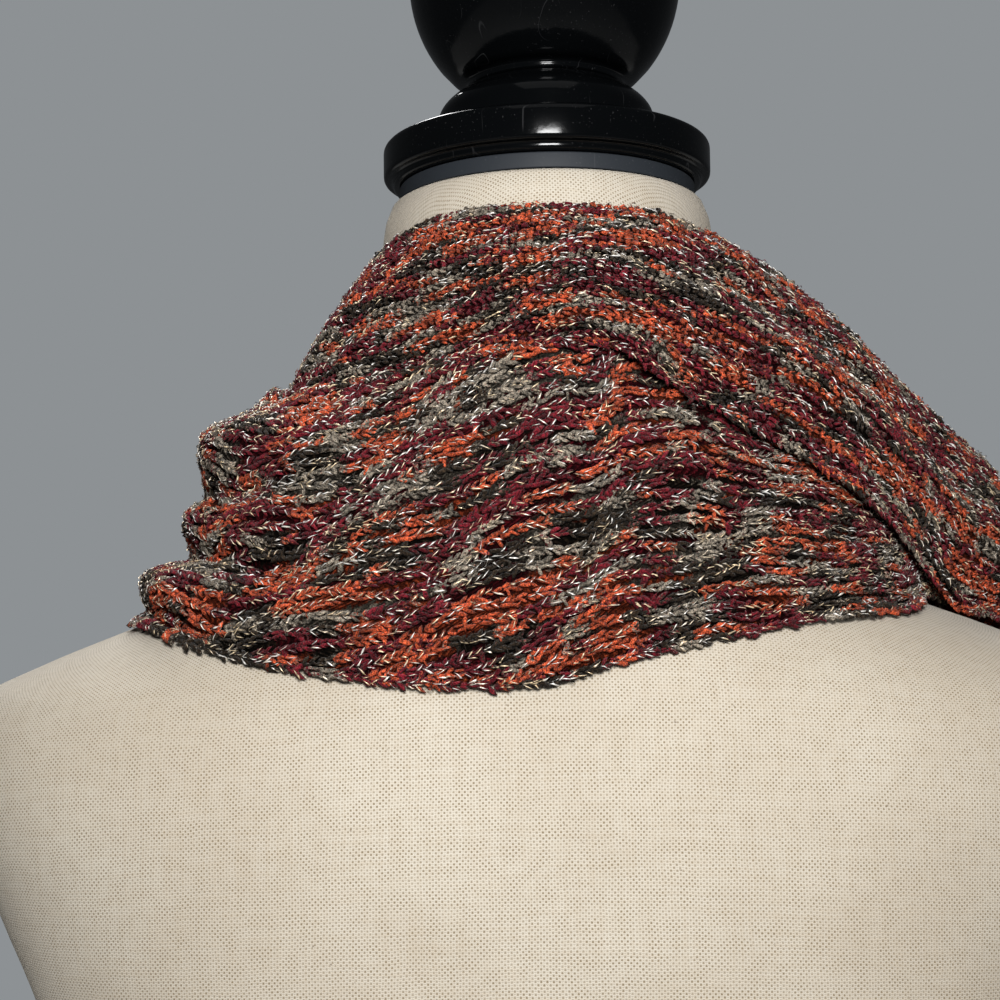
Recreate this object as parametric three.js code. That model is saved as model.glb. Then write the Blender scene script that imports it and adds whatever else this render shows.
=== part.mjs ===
// An infinity scarf, wound twice round the neck of a limbless dress form.
// Sizes are in millimetres. +Z is up, -Y is the form's back and +X is its right-hand side.
// The origin is the middle of the base board's underside.

import * as THREE from "three";

// The scarf's cloth
const clothThickness = 2.6;
const seamGap = 0.3;
const restGap = 0.7;
const stepAlong = 5.6;
const rowsAcross = 17;
const fullWinding = 720;

// The form's stack of pieces, from the floor up
const baseThickness = 14;
const pieceGap = 0.3;
const linenTop = 682;
const plateRadius = 48.5;
const ringRadius = 50.5;
const ringThickness = 2.5;
const discUnderside = 690;
const discRadius = 53.6;
const discThickness = 12;
const stepRadius = 35.5;
const stepStraight = 8;
const stepHeight = 18.2;
const shoulderRim = 26;
const waistRadius = 25.6;
const waistStraight = 1;
const waistCove = 1.4;
const ballStartRadius = 30;
const ballRadius = 44.8;
const ballCentre = 757.2;
const roundedEdge = 1.5;

// How finely the form is cut
const sidesRound = 40;
const turnedSides = 40;
const shoulderSteps = 4;
const ballArcSteps = 12;
const TORSO_RING_HEIGHTS = [
  40, 65, 90, 115, 140, 165, 195, 230, 270, 310, 350, 385, 410, 430, 450, 470,
  488, 503, 514, 522, 529, 536, 543, 550, 558, 567, 577, 590, 608, 640, 667, 677,
];

// The form's outline: a row for each height, with the half width and the depth behind and in front
// of the neck's axis. Squareness 2 is an ellipse, and more is boxier.
const FORM_SECTIONS = [
  { height: 0, halfWidth: 158, back: 102, front: 108, squareness: 2.3 },
  { height: 45, halfWidth: 166, back: 107, front: 112, squareness: 2.3 },
  { height: 90, halfWidth: 163, back: 107, front: 112, squareness: 2.3 },
  { height: 130, halfWidth: 149, back: 99, front: 103, squareness: 2.25 },
  { height: 165, halfWidth: 132, back: 90, front: 94, squareness: 2.2 },
  { height: 200, halfWidth: 124, back: 86, front: 91, squareness: 2.2 },
  { height: 235, halfWidth: 127, back: 88, front: 98, squareness: 2.2 },
  { height: 280, halfWidth: 138, back: 93, front: 113, squareness: 2.3 },
  { height: 335, halfWidth: 149, back: 97, front: 125, squareness: 2.4 },
  { height: 380, halfWidth: 151, back: 99, front: 120, squareness: 2.45 },
  { height: 405, halfWidth: 153, back: 100, front: 113, squareness: 2.5 },
  { height: 430, halfWidth: 159, back: 100, front: 107, squareness: 2.6 },
  { height: 460, halfWidth: 172, back: 99, front: 99, squareness: 2.6 },
  { height: 490, halfWidth: 185, back: 96, front: 91, squareness: 2.6 },
  { height: 512, halfWidth: 190, back: 92, front: 84, squareness: 2.5 },
  { height: 524, halfWidth: 182, back: 89, front: 79, squareness: 2.4 },
  { height: 534, halfWidth: 162, back: 86, front: 74, squareness: 2.3 },
  { height: 544, halfWidth: 137, back: 82, front: 68, squareness: 2.2 },
  { height: 556, halfWidth: 105, back: 76, front: 62, squareness: 2.1 },
  { height: 568, halfWidth: 82, back: 69, front: 57, squareness: 2.0 },
  { height: 582, halfWidth: 67, back: 62, front: 54, squareness: 2.0 },
  { height: 600, halfWidth: 58, back: 57, front: 53, squareness: 2.0 },
  { height: 630, halfWidth: 55, back: 55, front: 53, squareness: 2.0 },
  { height: 667, halfWidth: 54, back: 54, front: 54, squareness: 2.0 },
  { height: 677, halfWidth: 52.6, back: 52.6, front: 52.6, squareness: 2.0 },
  { height: 682, halfWidth: 50, back: 50, front: 50, squareness: 2.0 },
  { height: 690, halfWidth: 46, back: 46, front: 46, squareness: 2.0 },
];

// The scarf's run: a row for each section across the cloth, twice round the neck and back to its
// start.
// turn is the angle round the neck, in degrees from +X towards +Y, and lean is how far the top edge
// runs ahead of it and the foot behind it. Radii are from the neck's axis. belly is how far the
// middle of the section stands out from the straight line between its edges.
const SCARF_SECTIONS = [
  // Upper wrap: from the left of the neck, across the back and down over the right shoulder
  { turn: 180, lean: 0, topRadius: 57.5, topHeight: 661, footRadius: 96, footHeight: 588, belly: 4 },
  { turn: 205, lean: 1, topRadius: 56.6, topHeight: 662.5, footRadius: 91, footHeight: 594, belly: 4 },
  { turn: 230, lean: 0, topRadius: 56.2, topHeight: 666.5, footRadius: 85, footHeight: 602, belly: 4 },
  { turn: 250, lean: 0, topRadius: 56.2, topHeight: 668, footRadius: 82, footHeight: 612, belly: 4 },
  { turn: 265, lean: 0, topRadius: 56.2, topHeight: 668, footRadius: 81, footHeight: 620.5, belly: 5 },
  { turn: 275, lean: 1, topRadius: 56.2, topHeight: 668, footRadius: 85, footHeight: 623.4, belly: 5 },
  { turn: 283, lean: 2.5, topRadius: 56.2, topHeight: 668, footRadius: 87.9, footHeight: 621.5, belly: 5 },
  { turn: 295, lean: 5, topRadius: 56.4, topHeight: 668, footRadius: 88.9, footHeight: 612.5, belly: 6 },
  { turn: 310, lean: 7, topRadius: 58.5, topHeight: 665, footRadius: 92.6, footHeight: 601.7, belly: 6 },
  { turn: 326, lean: 9, topRadius: 66.3, topHeight: 659, footRadius: 99, footHeight: 591.3, belly: 6 },
  { turn: 339, lean: 9, topRadius: 78.5, topHeight: 651.5, footRadius: 108.6, footHeight: 577.8, belly: 6 },
  { turn: 350, lean: 8, topRadius: 97, topHeight: 639, footRadius: 118.5, footHeight: 560, belly: 7 },
  { turn: 357, lean: 8, topRadius: 118.5, topHeight: 622, footRadius: 126.5, footHeight: 549.5, belly: 7 },
  { turn: 364, lean: 6.5, topRadius: 144, topHeight: 605, footRadius: 142, footHeight: 545.5, belly: 8 },
  { turn: 370, lean: 4.5, topRadius: 163, topHeight: 593, footRadius: 156, footHeight: 538, belly: 8 },
  // Outer drape: down in front of the chest and up to the left shoulder
  { turn: 377, lean: 3, topRadius: 170, topHeight: 579, footRadius: 162, footHeight: 530, belly: 9 },
  { turn: 389, lean: 1, topRadius: 172, topHeight: 557, footRadius: 156, footHeight: 505, belly: 10 },
  { turn: 409, lean: 0, topRadius: 154, topHeight: 536, footRadius: 134, footHeight: 475, belly: 11 },
  { turn: 430, lean: 0, topRadius: 138, topHeight: 527, footRadius: 122, footHeight: 451, belly: 13 },
  { turn: 450, lean: 0, topRadius: 130, topHeight: 525, footRadius: 118, footHeight: 441, belly: 14 },
  { turn: 470, lean: 0, topRadius: 125, topHeight: 533, footRadius: 119, footHeight: 450, belly: 13 },
  { turn: 489, lean: 0, topRadius: 120, topHeight: 551, footRadius: 126, footHeight: 480, belly: 10 },
  { turn: 503, lean: 0, topRadius: 114, topHeight: 568, footRadius: 132, footHeight: 510, belly: 8 },
  { turn: 520, lean: 0, topRadius: 103, topHeight: 591, footRadius: 132, footHeight: 539, belly: 8 },
  // Lower wrap: from the left shoulder across the back, then under the upper wrap on the right
  { turn: 540, lean: 0, topRadius: 91, topHeight: 620, footRadius: 128, footHeight: 548, belly: 6 },
  { turn: 560, lean: 1, topRadius: 87.5, topHeight: 616, footRadius: 124.5, footHeight: 546, belly: 8 },
  { turn: 580, lean: 1, topRadius: 86.3, topHeight: 615, footRadius: 117, footHeight: 538.5, belly: 9 },
  { turn: 597, lean: 3, topRadius: 86.5, topHeight: 616, footRadius: 105, footHeight: 533.5, belly: 9 },
  { turn: 613, lean: 2, topRadius: 86.4, topHeight: 620, footRadius: 94, footHeight: 530.5, belly: 8 },
  { turn: 628, lean: 2, topRadius: 86.4, topHeight: 622.3, footRadius: 89.5, footHeight: 531, belly: 8 },
  { turn: 634, lean: 2.8, topRadius: 85, topHeight: 619.6, footRadius: 89, footHeight: 533, belly: 8 },
  { turn: 640.5, lean: 3, topRadius: 81, topHeight: 625.5, footRadius: 88.7, footHeight: 536, belly: 8 },
  { turn: 650, lean: 4, topRadius: 79.5, topHeight: 625, footRadius: 89.5, footHeight: 539, belly: 8 },
  { turn: 664, lean: 4, topRadius: 81, topHeight: 618, footRadius: 93.5, footHeight: 543, belly: 7 },
  { turn: 680, lean: 4, topRadius: 86, topHeight: 609, footRadius: 101.5, footHeight: 547, belly: 6 },
  { turn: 696, lean: 4, topRadius: 93, topHeight: 600, footRadius: 111, footHeight: 549, belly: 5 },
  { turn: 712, lean: 4, topRadius: 101, topHeight: 592, footRadius: 118, footHeight: 553, belly: 4 },
  // Inner drape: close round the front of the neck and back up to the start
  { turn: 727, lean: 3, topRadius: 105, topHeight: 587, footRadius: 126, footHeight: 550, belly: 6 },
  { turn: 745, lean: 0, topRadius: 104, topHeight: 577, footRadius: 130, footHeight: 538, belly: 7 },
  { turn: 770, lean: 0, topRadius: 97, topHeight: 570, footRadius: 113, footHeight: 520, belly: 8 },
  { turn: 795, lean: 0, topRadius: 87, topHeight: 574, footRadius: 100, footHeight: 506, belly: 9 },
  { turn: 815, lean: 0, topRadius: 79, topHeight: 588, footRadius: 99, footHeight: 507, belly: 9 },
  { turn: 835, lean: 0, topRadius: 71, topHeight: 608, footRadius: 100, footHeight: 519, belly: 8 },
  { turn: 856, lean: 0, topRadius: 64, topHeight: 631, footRadius: 101, footHeight: 543, belly: 6 },
  { turn: 878, lean: 0, topRadius: 59, topHeight: 650, footRadius: 99, footHeight: 568, belly: 4 },
];

// The largest folds. Each runs along the cloth from one turn to another, and its crest drifts across
// the cloth, 0 at the top edge and 1 at the foot. A ridge has a height above 0 and a trough below 0.
const FOLDS = [
  // Two lobes on the left of the lower wrap, and the deep notch between them
  { from: 508, to: 596, startAcross: 0.25, endAcross: 0.28, spread: 0.12, height: 8 },
  { from: 515, to: 603, startAcross: 0.73, endAcross: 0.68, spread: 0.07, height: -8 },
  { from: 512, to: 590, startAcross: 0.9, endAcross: 0.86, spread: 0.08, height: 6 },
  { from: 516, to: 594, startAcross: 0.52, endAcross: 0.42, spread: 0.06, height: -5 },
  // Long soft ridges across the back, fanning out to the right
  { from: 590, to: 672, startAcross: 0.3, endAcross: 0.45, spread: 0.1, height: 2.5 },
  { from: 600, to: 690, startAcross: 0.62, endAcross: 0.72, spread: 0.09, height: -2.5 },
  { from: 196, to: 262, startAcross: 0.45, endAcross: 0.55, spread: 0.1, height: -2 },
  // The slanting upper wrap on the right shoulder
  { from: 292, to: 372, startAcross: 0.3, endAcross: 0.36, spread: 0.1, height: -3 },
  { from: 300, to: 392, startAcross: 0.62, endAcross: 0.6, spread: 0.12, height: 3.5 },
  // U-shaped folds that hang in front of the chest
  { from: 384, to: 520, startAcross: 0.22, endAcross: 0.2, spread: 0.09, height: 6 },
  { from: 378, to: 524, startAcross: 0.42, endAcross: 0.45, spread: 0.08, height: -6 },
  { from: 392, to: 512, startAcross: 0.64, endAcross: 0.66, spread: 0.1, height: 6 },
  { from: 400, to: 505, startAcross: 0.86, endAcross: 0.88, spread: 0.07, height: -5 },
  // Folds of the inner drape
  { from: 735, to: 868, startAcross: 0.24, endAcross: 0.3, spread: 0.1, height: 4 },
  { from: 742, to: 880, startAcross: 0.5, endAcross: 0.52, spread: 0.08, height: -4 },
  { from: 750, to: 862, startAcross: 0.76, endAcross: 0.74, spread: 0.1, height: 3 },
];

// The four stretches of the scarf, cut where the cloth turns out of sight
const STRETCHES = [
  { name: "back_upper_wrap", from: 168, to: 376 },
  { name: "front_outer_drape", from: 376, to: 530 },
  { name: "back_lower_wrap", from: 530, to: 722 },
  { name: "front_inner_drape", from: 722, to: 888 },
];

// The share of a fold's length over which it rises at its start and dies away at its end
const FADE_SHARE = 0.35;

// The tilts of the small circle that is rolled over the form, in degrees
const ROLLING_TILTS = [-60, -30, 0, 30, 60, 90];

const linen = new THREE.MeshStandardMaterial({ color: 0xcdbfa6, roughness: 0.9, metalness: 0 });
const knit = new THREE.MeshStandardMaterial({ color: 0x6f3328, roughness: 0.85, metalness: 0 });
const blackPaint = new THREE.MeshStandardMaterial({ color: 0x0b0b0c, roughness: 0.25, metalness: 0 });
const greyPlate = new THREE.MeshStandardMaterial({ color: 0x2c2d31, roughness: 0.6, metalness: 0 });

// A rising curve from 0 to 1 with level ends
function easeIn(t) {
  const s = Math.min(1, Math.max(0, t));
  return s * s * (3 - 2 * s);
}

// The slope of a table's column at one row. It is level at a peak, so the curve never overshoots.
function slopeAt(table, key, column, row) {
  const before = table[Math.max(0, row - 1)];
  const here = table[row];
  const after = table[Math.min(table.length - 1, row + 1)];
  const rise = after === here ? 0 : (after[column] - here[column]) / (after[key] - here[key]);
  const climb = before === here ? 0 : (here[column] - before[column]) / (here[key] - before[key]);
  if (after === here) return climb;
  if (before === here) return rise;
  return rise * climb <= 0 ? 0 : (2 * rise * climb) / (rise + climb);
}

// A table's column, read between its rows by a cubic through them
function readTable(table, key, column, at) {
  let row = 0;
  while (row < table.length - 2 && table[row + 1][key] < at) row += 1;
  const low = table[row];
  const high = table[row + 1];
  const span = high[key] - low[key];
  const t = Math.min(1, Math.max(0, (at - low[key]) / span));
  const startSlope = slopeAt(table, key, column, row) * span;
  const endSlope = slopeAt(table, key, column, row + 1) * span;
  const t2 = t * t;
  const t3 = t2 * t;
  return (2 * t3 - 3 * t2 + 1) * low[column] + (t3 - 2 * t2 + t) * startSlope
    + (3 * t2 - 2 * t3) * high[column] + (t3 - t2) * endSlope;
}

// The form's surface: its radius from the neck's axis at an angle and a height
function formRadius(angle, height) {
  const halfWidth = readTable(FORM_SECTIONS, "height", "halfWidth", height);
  const back = readTable(FORM_SECTIONS, "height", "back", height);
  const front = readTable(FORM_SECTIONS, "height", "front", height);
  const power = readTable(FORM_SECTIONS, "height", "squareness", height);
  const depth = Math.sin(angle) >= 0 ? front : back;
  const across = Math.abs(Math.cos(angle) / halfWidth) ** power;
  const through = Math.abs(Math.sin(angle) / depth) ** power;
  return (across + through) ** (-1 / power);
}

// The form's surface moved out by a distance: the furthest reach of a small circle rolled over it
function clearOfForm(angle, height, distance) {
  const nudge = 0.02;
  const ahead = formRadius(angle + nudge, height);
  const behind = formRadius(angle - nudge, height);
  const widening = (ahead - behind) / (2 * nudge);
  const slant = Math.hypot(1, widening / formRadius(angle, height));
  const reaches = ROLLING_TILTS.map((degrees) => {
    const tilt = THREE.MathUtils.degToRad(degrees);
    return formRadius(angle, height - distance * Math.sin(tilt)) + distance * slant * Math.cos(tilt);
  });
  return Math.max(...reaches);
}

// The scarf's table with a turn of copies before and after it, so that it reads as a closed loop
function closedLoop(table) {
  const before = table.map((row) => ({ ...row, turn: row.turn - fullWinding }));
  const after = table.map((row) => ({ ...row, turn: row.turn + fullWinding }));
  return [...before, ...table, ...after];
}

const SCARF_LOOP = closedLoop(SCARF_SECTIONS);

function readScarf(column, turn) {
  return readTable(SCARF_LOOP, "turn", column, turn);
}

function polarPoint(degrees, radius, height) {
  const angle = THREE.MathUtils.degToRad(degrees);
  return new THREE.Vector3(radius * Math.cos(angle), radius * Math.sin(angle), height);
}

// How far the folds lift the cloth at one place
function foldHeight(turn, across) {
  let lift = 0;
  for (const fold of FOLDS) {
    for (const wind of [-fullWinding, 0, fullWinding]) {
      const t = (turn + wind - fold.from) / (fold.to - fold.from);
      if (t <= 0 || t >= 1) continue;
      const fade = easeIn(t / FADE_SHARE) * easeIn((1 - t) / FADE_SHARE);
      const crest = THREE.MathUtils.lerp(fold.startAcross, fold.endAcross, t);
      lift += fold.height * fade * Math.exp(-(((across - crest) / fold.spread) ** 2));
    }
  }
  return lift;
}

// The middle of the cloth, at a turn round the neck and a share across from the top edge to the foot
function clothPoint(turn, across) {
  const lean = readScarf("lean", turn);
  const top = polarPoint(turn + lean, readScarf("topRadius", turn), readScarf("topHeight", turn));
  const foot = polarPoint(turn - lean, readScarf("footRadius", turn), readScarf("footHeight", turn));
  const chord = foot.clone().sub(top).normalize();
  const outward = polarPoint(turn, 1, 0);
  outward.addScaledVector(chord, -outward.dot(chord)).normalize();
  const rise = readScarf("belly", turn) * Math.sin(Math.PI * across) + foldHeight(turn, across);
  const point = top.lerp(foot, across).addScaledVector(outward, rise);
  const angle = Math.atan2(point.y, point.x);
  const radius = Math.hypot(point.x, point.y);
  const clear = clearOfForm(angle, point.z, clothThickness / 2 + restGap);
  if (radius < clear) {
    point.x *= clear / radius;
    point.y *= clear / radius;
  }
  return point;
}

// The outward direction of the cloth, across the two ways that it runs
function clothNormal(turn, across) {
  const nudgeTurn = 0.5;
  const nudgeAcross = 0.02;
  const low = Math.max(0, across - nudgeAcross);
  const high = Math.min(1, across + nudgeAcross);
  const along = clothPoint(turn + nudgeTurn, across).sub(clothPoint(turn - nudgeTurn, across));
  const down = clothPoint(turn, high).sub(clothPoint(turn, low));
  return down.cross(along).normalize();
}

// A closed body from rings of points, one ring after another, with the two end rings capped
function bodyFromRings(rings, capTriangles) {
  const sides = rings[0].length;
  const positions = rings.flat().flatMap((point) => [point.x, point.y, point.z]);
  const triangles = [];
  for (let ring = 0; ring < rings.length - 1; ring += 1) {
    for (let side = 0; side < sides; side += 1) {
      const next = (side + 1) % sides;
      const a = ring * sides + side;
      const b = ring * sides + next;
      const c = a + sides;
      const d = b + sides;
      triangles.push(a, b, d, a, d, c);
    }
  }
  const last = (rings.length - 1) * sides;
  for (const [a, b, c] of capTriangles) {
    triangles.push(a, c, b);
    triangles.push(last + a, last + b, last + c);
  }
  const geometry = new THREE.BufferGeometry();
  geometry.setAttribute("position", new THREE.Float32BufferAttribute(positions, 3));
  geometry.setIndex(triangles);
  geometry.computeVertexNormals();
  return geometry;
}

// One ring round the cloth's wall: down the outside and up the inside
function clothRing(turn, shift) {
  const outside = [];
  const inside = [];
  for (let row = 0; row < rowsAcross; row += 1) {
    const across = row / (rowsAcross - 1);
    const middle = clothPoint(turn, across);
    if (shift !== 0) {
      const along = clothPoint(turn + shift, across).sub(middle).normalize();
      middle.addScaledVector(along, seamGap / 2);
    }
    const half = clothNormal(turn, across).multiplyScalar(clothThickness / 2);
    outside.push(middle.clone().add(half));
    inside.unshift(middle.clone().sub(half));
  }
  return [...outside, ...inside];
}

// A stretch of the scarf: a wall of cloth between two turns, drawn back a little at each seam
function clothStretch({ from, to }) {
  const steps = Math.round((to - from) / stepAlong);
  const rings = [];
  for (let step = 0; step <= steps; step += 1) {
    const shift = step === 0 ? 1 : step === steps ? -1 : 0;
    rings.push(clothRing(from + ((to - from) * step) / steps, shift));
  }
  const cap = [];
  const ringSize = 2 * rowsAcross;
  for (let row = 0; row < rowsAcross - 1; row += 1) {
    const opposite = ringSize - 1 - row;
    cap.push([row, row + 1, opposite - 1], [row, opposite - 1, opposite]);
  }
  return bodyFromRings(rings, cap);
}

// Triangles that fill a convex ring from its first point
function fanCap(sides) {
  const fan = [];
  for (let side = 1; side < sides - 1; side += 1) fan.push([0, side, side + 1]);
  return fan;
}

// One ring at a height, with the form's outline at another height
function formRing(height, outlineHeight) {
  const ring = [];
  for (let side = 0; side < sidesRound; side += 1) {
    const degrees = (360 * side) / sidesRound;
    const radius = formRadius(THREE.MathUtils.degToRad(degrees), outlineHeight);
    ring.push(polarPoint(degrees, radius, height));
  }
  return ring;
}

// The stuffed torso: one closed skin through the form's sections, from the base board to the neck
function torso() {
  const heights = [baseThickness + pieceGap, ...TORSO_RING_HEIGHTS, linenTop];
  return bodyFromRings(heights.map((height) => formRing(height, height)), fanCap(sidesRound));
}

// The flat board under the torso, cut to the hip's outline
function baseBoard() {
  return bodyFromRings([formRing(0, 0), formRing(baseThickness, 0)], fanCap(sidesRound));
}

// A turned piece: a profile of radius and height, spun about the neck's axis
function turned(profile) {
  const points = profile.map(([radius, height]) => new THREE.Vector2(radius, height));
  const geometry = new THREE.LatheGeometry(points, turnedSides);
  geometry.rotateX(Math.PI / 2);
  return geometry;
}

// The grey plate that closes the neck's linen
function neckPlate() {
  const low = linenTop + pieceGap;
  const high = discUnderside - ringThickness - pieceGap;
  return turned([[0, low], [plateRadius, low], [plateRadius, high], [0, high]]);
}

// The step's shoulder: a curve from its straight side, upwards and in to the waist
function stepShoulder(base) {
  const side = new THREE.Vector2(stepRadius, base + stepStraight);
  const bend = new THREE.Vector2(stepRadius, base + (stepStraight + stepHeight) / 2);
  const rim = new THREE.Vector2(shoulderRim, base + stepHeight);
  const curve = new THREE.QuadraticBezierCurve(side, bend, rim);
  return curve.getPoints(shoulderSteps).map((point) => [point.x, point.y]);
}

// The cap's disc, with a thin ring under it and a domed step over it, turned from one blank
function capDisc() {
  const ringUnderside = discUnderside - ringThickness;
  const top = discUnderside + discThickness;
  return turned([
    [0, ringUnderside],
    [ringRadius, ringUnderside],
    [ringRadius, discUnderside],
    [discRadius - roundedEdge, discUnderside],
    [discRadius, discUnderside + roundedEdge],
    [discRadius, top - 2 * roundedEdge],
    [discRadius - roundedEdge, top - roundedEdge / 2],
    [discRadius - 3 * roundedEdge, top],
    [stepRadius + roundedEdge, top],
    [stepRadius, top + roundedEdge],
    ...stepShoulder(top),
    [0, top + stepHeight],
  ]);
}

// The ball finial on its waist, which runs out into the ball in a small cove
function finial() {
  const low = discUnderside + discThickness + stepHeight + pieceGap;
  const sweep = Math.PI - Math.asin(ballStartRadius / ballRadius);
  const profile = [
    [0, low],
    [waistRadius, low],
    [waistRadius, low + waistStraight],
    [waistRadius + waistCove, low + waistStraight + waistCove],
  ];
  for (let step = 0; step < ballArcSteps; step += 1) {
    const polar = sweep * (1 - step / ballArcSteps);
    profile.push([ballRadius * Math.sin(polar), ballCentre + ballRadius * Math.cos(polar)]);
  }
  profile.push([0, ballCentre + ballRadius]);
  return turned(profile);
}

function addPiece(group, name, geometry, material) {
  const mesh = new THREE.Mesh(geometry, material);
  mesh.name = name;
  group.add(mesh);
}

const scarfOnForm = new THREE.Group();
addPiece(scarfOnForm, "base_board", baseBoard(), blackPaint);
addPiece(scarfOnForm, "form_torso", torso(), linen);
addPiece(scarfOnForm, "neck_plate", neckPlate(), greyPlate);
addPiece(scarfOnForm, "neck_cap_disc", capDisc(), blackPaint);
addPiece(scarfOnForm, "finial_ball", finial(), blackPaint);
for (const stretch of STRETCHES) {
  addPiece(scarfOnForm, stretch.name, clothStretch(stretch), knit);
}

export default scarfOnForm;
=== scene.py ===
# %% [markdown]
# # An infinity scarf on a dress form
# The subject is a long knitted loop, wound twice round the neck of a linen dress form. The packed
# model gives its solids in metres, with the form's back towards -Y. This lesson builds the finer
# surfaces that are seen: the linen skin, the turned cap, the base, the four stretches of cloth, and
# then the yarn itself, stitch by stitch. Every surface is a formula, evaluated on whole arrays.

import math

import bpy
import numpy as np
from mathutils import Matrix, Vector


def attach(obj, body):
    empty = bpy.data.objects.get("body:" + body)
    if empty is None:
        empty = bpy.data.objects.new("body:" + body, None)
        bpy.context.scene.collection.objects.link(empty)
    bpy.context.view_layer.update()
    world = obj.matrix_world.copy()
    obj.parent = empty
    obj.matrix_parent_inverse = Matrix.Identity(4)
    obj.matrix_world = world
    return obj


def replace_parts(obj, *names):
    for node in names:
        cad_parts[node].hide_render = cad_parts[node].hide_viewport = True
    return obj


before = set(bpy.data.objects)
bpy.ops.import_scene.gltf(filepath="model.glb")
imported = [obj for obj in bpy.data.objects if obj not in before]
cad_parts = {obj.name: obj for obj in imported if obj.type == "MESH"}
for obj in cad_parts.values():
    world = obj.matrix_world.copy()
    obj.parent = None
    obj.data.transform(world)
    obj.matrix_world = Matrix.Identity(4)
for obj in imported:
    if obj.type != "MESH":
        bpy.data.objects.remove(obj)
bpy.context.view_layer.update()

MM = 0.001
rng = np.random.default_rng(7)

print("nodes:", sorted(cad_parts))

# %% [markdown]
# ## The three tables
# A dress form is described by its girths: at each height it has a half width, a depth behind the
# neck and a depth in front. A wound scarf is described in the same way, by its sections: at each
# turn round the neck, its top edge and its foot have a radius and a height. Its folds are described
# by where each crest runs, as turns and as shares across the cloth. Lengths here are in millimetres
# and turns in degrees, because a maker would write them so.

# %% The form's girths
# Height, half width, depth behind, depth in front, squareness
FORM_SECTIONS = np.array([
    (0, 158, 102, 108, 2.3),
    (45, 166, 107, 112, 2.3),
    (90, 163, 107, 112, 2.3),
    (130, 149, 99, 103, 2.25),
    (165, 132, 90, 94, 2.2),
    (200, 124, 86, 91, 2.2),
    (235, 127, 88, 98, 2.2),
    (280, 138, 93, 113, 2.3),
    (335, 149, 97, 125, 2.4),
    (380, 151, 99, 120, 2.45),
    (405, 153, 100, 113, 2.5),
    (430, 159, 100, 107, 2.6),
    (460, 172, 99, 99, 2.6),
    (490, 185, 96, 91, 2.6),
    (512, 190, 92, 84, 2.5),
    (524, 182, 89, 79, 2.4),
    (534, 162, 86, 74, 2.3),
    (544, 137, 82, 68, 2.2),
    (556, 105, 76, 62, 2.1),
    (568, 82, 69, 57, 2.0),
    (582, 67, 62, 54, 2.0),
    (600, 58, 57, 53, 2.0),
    (630, 55, 55, 53, 2.0),
    (667, 54, 54, 54, 2.0),
    (677, 52.6, 52.6, 52.6, 2.0),
    (682, 50, 50, 50, 2.0),
    (690, 46, 46, 46, 2.0),
], dtype=float)

print("form sections:", len(FORM_SECTIONS))

# %% The scarf's run
# Turn, lean, radius and height of the top edge, radius and height of the foot, belly
SCARF_SECTIONS = np.array([
    (180, 0, 57.5, 661, 96, 588, 4),
    (205, 1, 56.6, 662.5, 91, 594, 4),
    (230, 0, 56.2, 666.5, 85, 602, 4),
    (250, 0, 56.2, 668, 82, 612, 4),
    (265, 0, 56.2, 668, 81, 620.5, 5),
    (275, 1, 56.2, 668, 85, 623.4, 5),
    (283, 2.5, 56.2, 668, 87.9, 621.5, 5),
    (295, 5, 56.4, 668, 88.9, 612.5, 6),
    (310, 7, 58.5, 665, 92.6, 601.7, 6),
    (326, 9, 66.3, 659, 99, 591.3, 6),
    (339, 9, 78.5, 651.5, 108.6, 577.8, 6),
    (350, 8, 97, 639, 118.5, 560, 7),
    (357, 8, 118.5, 622, 126.5, 549.5, 7),
    (364, 6.5, 144, 605, 142, 545.5, 8),
    (370, 4.5, 163, 593, 156, 538, 8),
    (377, 3, 170, 579, 162, 530, 9),
    (389, 1, 172, 557, 156, 505, 10),
    (409, 0, 154, 536, 134, 475, 11),
    (430, 0, 138, 527, 122, 451, 13),
    (450, 0, 130, 525, 118, 441, 14),
    (470, 0, 125, 533, 119, 450, 13),
    (489, 0, 120, 551, 126, 480, 10),
    (503, 0, 114, 568, 132, 510, 8),
    (520, 0, 103, 591, 132, 539, 8),
    (540, 0, 91, 620, 128, 548, 6),
    (560, 1, 87.5, 616, 124.5, 546, 8),
    (580, 1, 86.3, 615, 117, 538.5, 9),
    (597, 3, 86.5, 616, 105, 533.5, 9),
    (613, 2, 86.4, 620, 94, 530.5, 8),
    (628, 2, 86.4, 622.3, 89.5, 531, 8),
    (634, 2.8, 85, 619.6, 89, 533, 8),
    (640.5, 3, 81, 625.5, 88.7, 536, 8),
    (650, 4, 79.5, 625, 89.5, 539, 8),
    (664, 4, 81, 618, 93.5, 543, 7),
    (680, 4, 86, 609, 101.5, 547, 6),
    (696, 4, 93, 600, 111, 549, 5),
    (712, 4, 101, 592, 118, 553, 4),
    (727, 3, 105, 587, 126, 550, 6),
    (745, 0, 104, 577, 130, 538, 7),
    (770, 0, 97, 570, 113, 520, 8),
    (795, 0, 87, 574, 100, 506, 9),
    (815, 0, 79, 588, 99, 507, 9),
    (835, 0, 71, 608, 100, 519, 8),
    (856, 0, 64, 631, 101, 543, 6),
    (878, 0, 59, 650, 99, 568, 4),
], dtype=float)

LEAN, TOP_RADIUS, TOP_HEIGHT, FOOT_RADIUS, FOOT_HEIGHT, BELLY = range(1, 7)

# The loop closes after two turns round the neck, so its table is repeated before and after
FULL_WINDING = 720
one_winding = np.array([FULL_WINDING, 0, 0, 0, 0, 0, 0])
SCARF_LOOP = np.concatenate([SCARF_SECTIONS + wind * one_winding for wind in (-1, 0, 1)])

print("scarf sections:", len(SCARF_SECTIONS))

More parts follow.
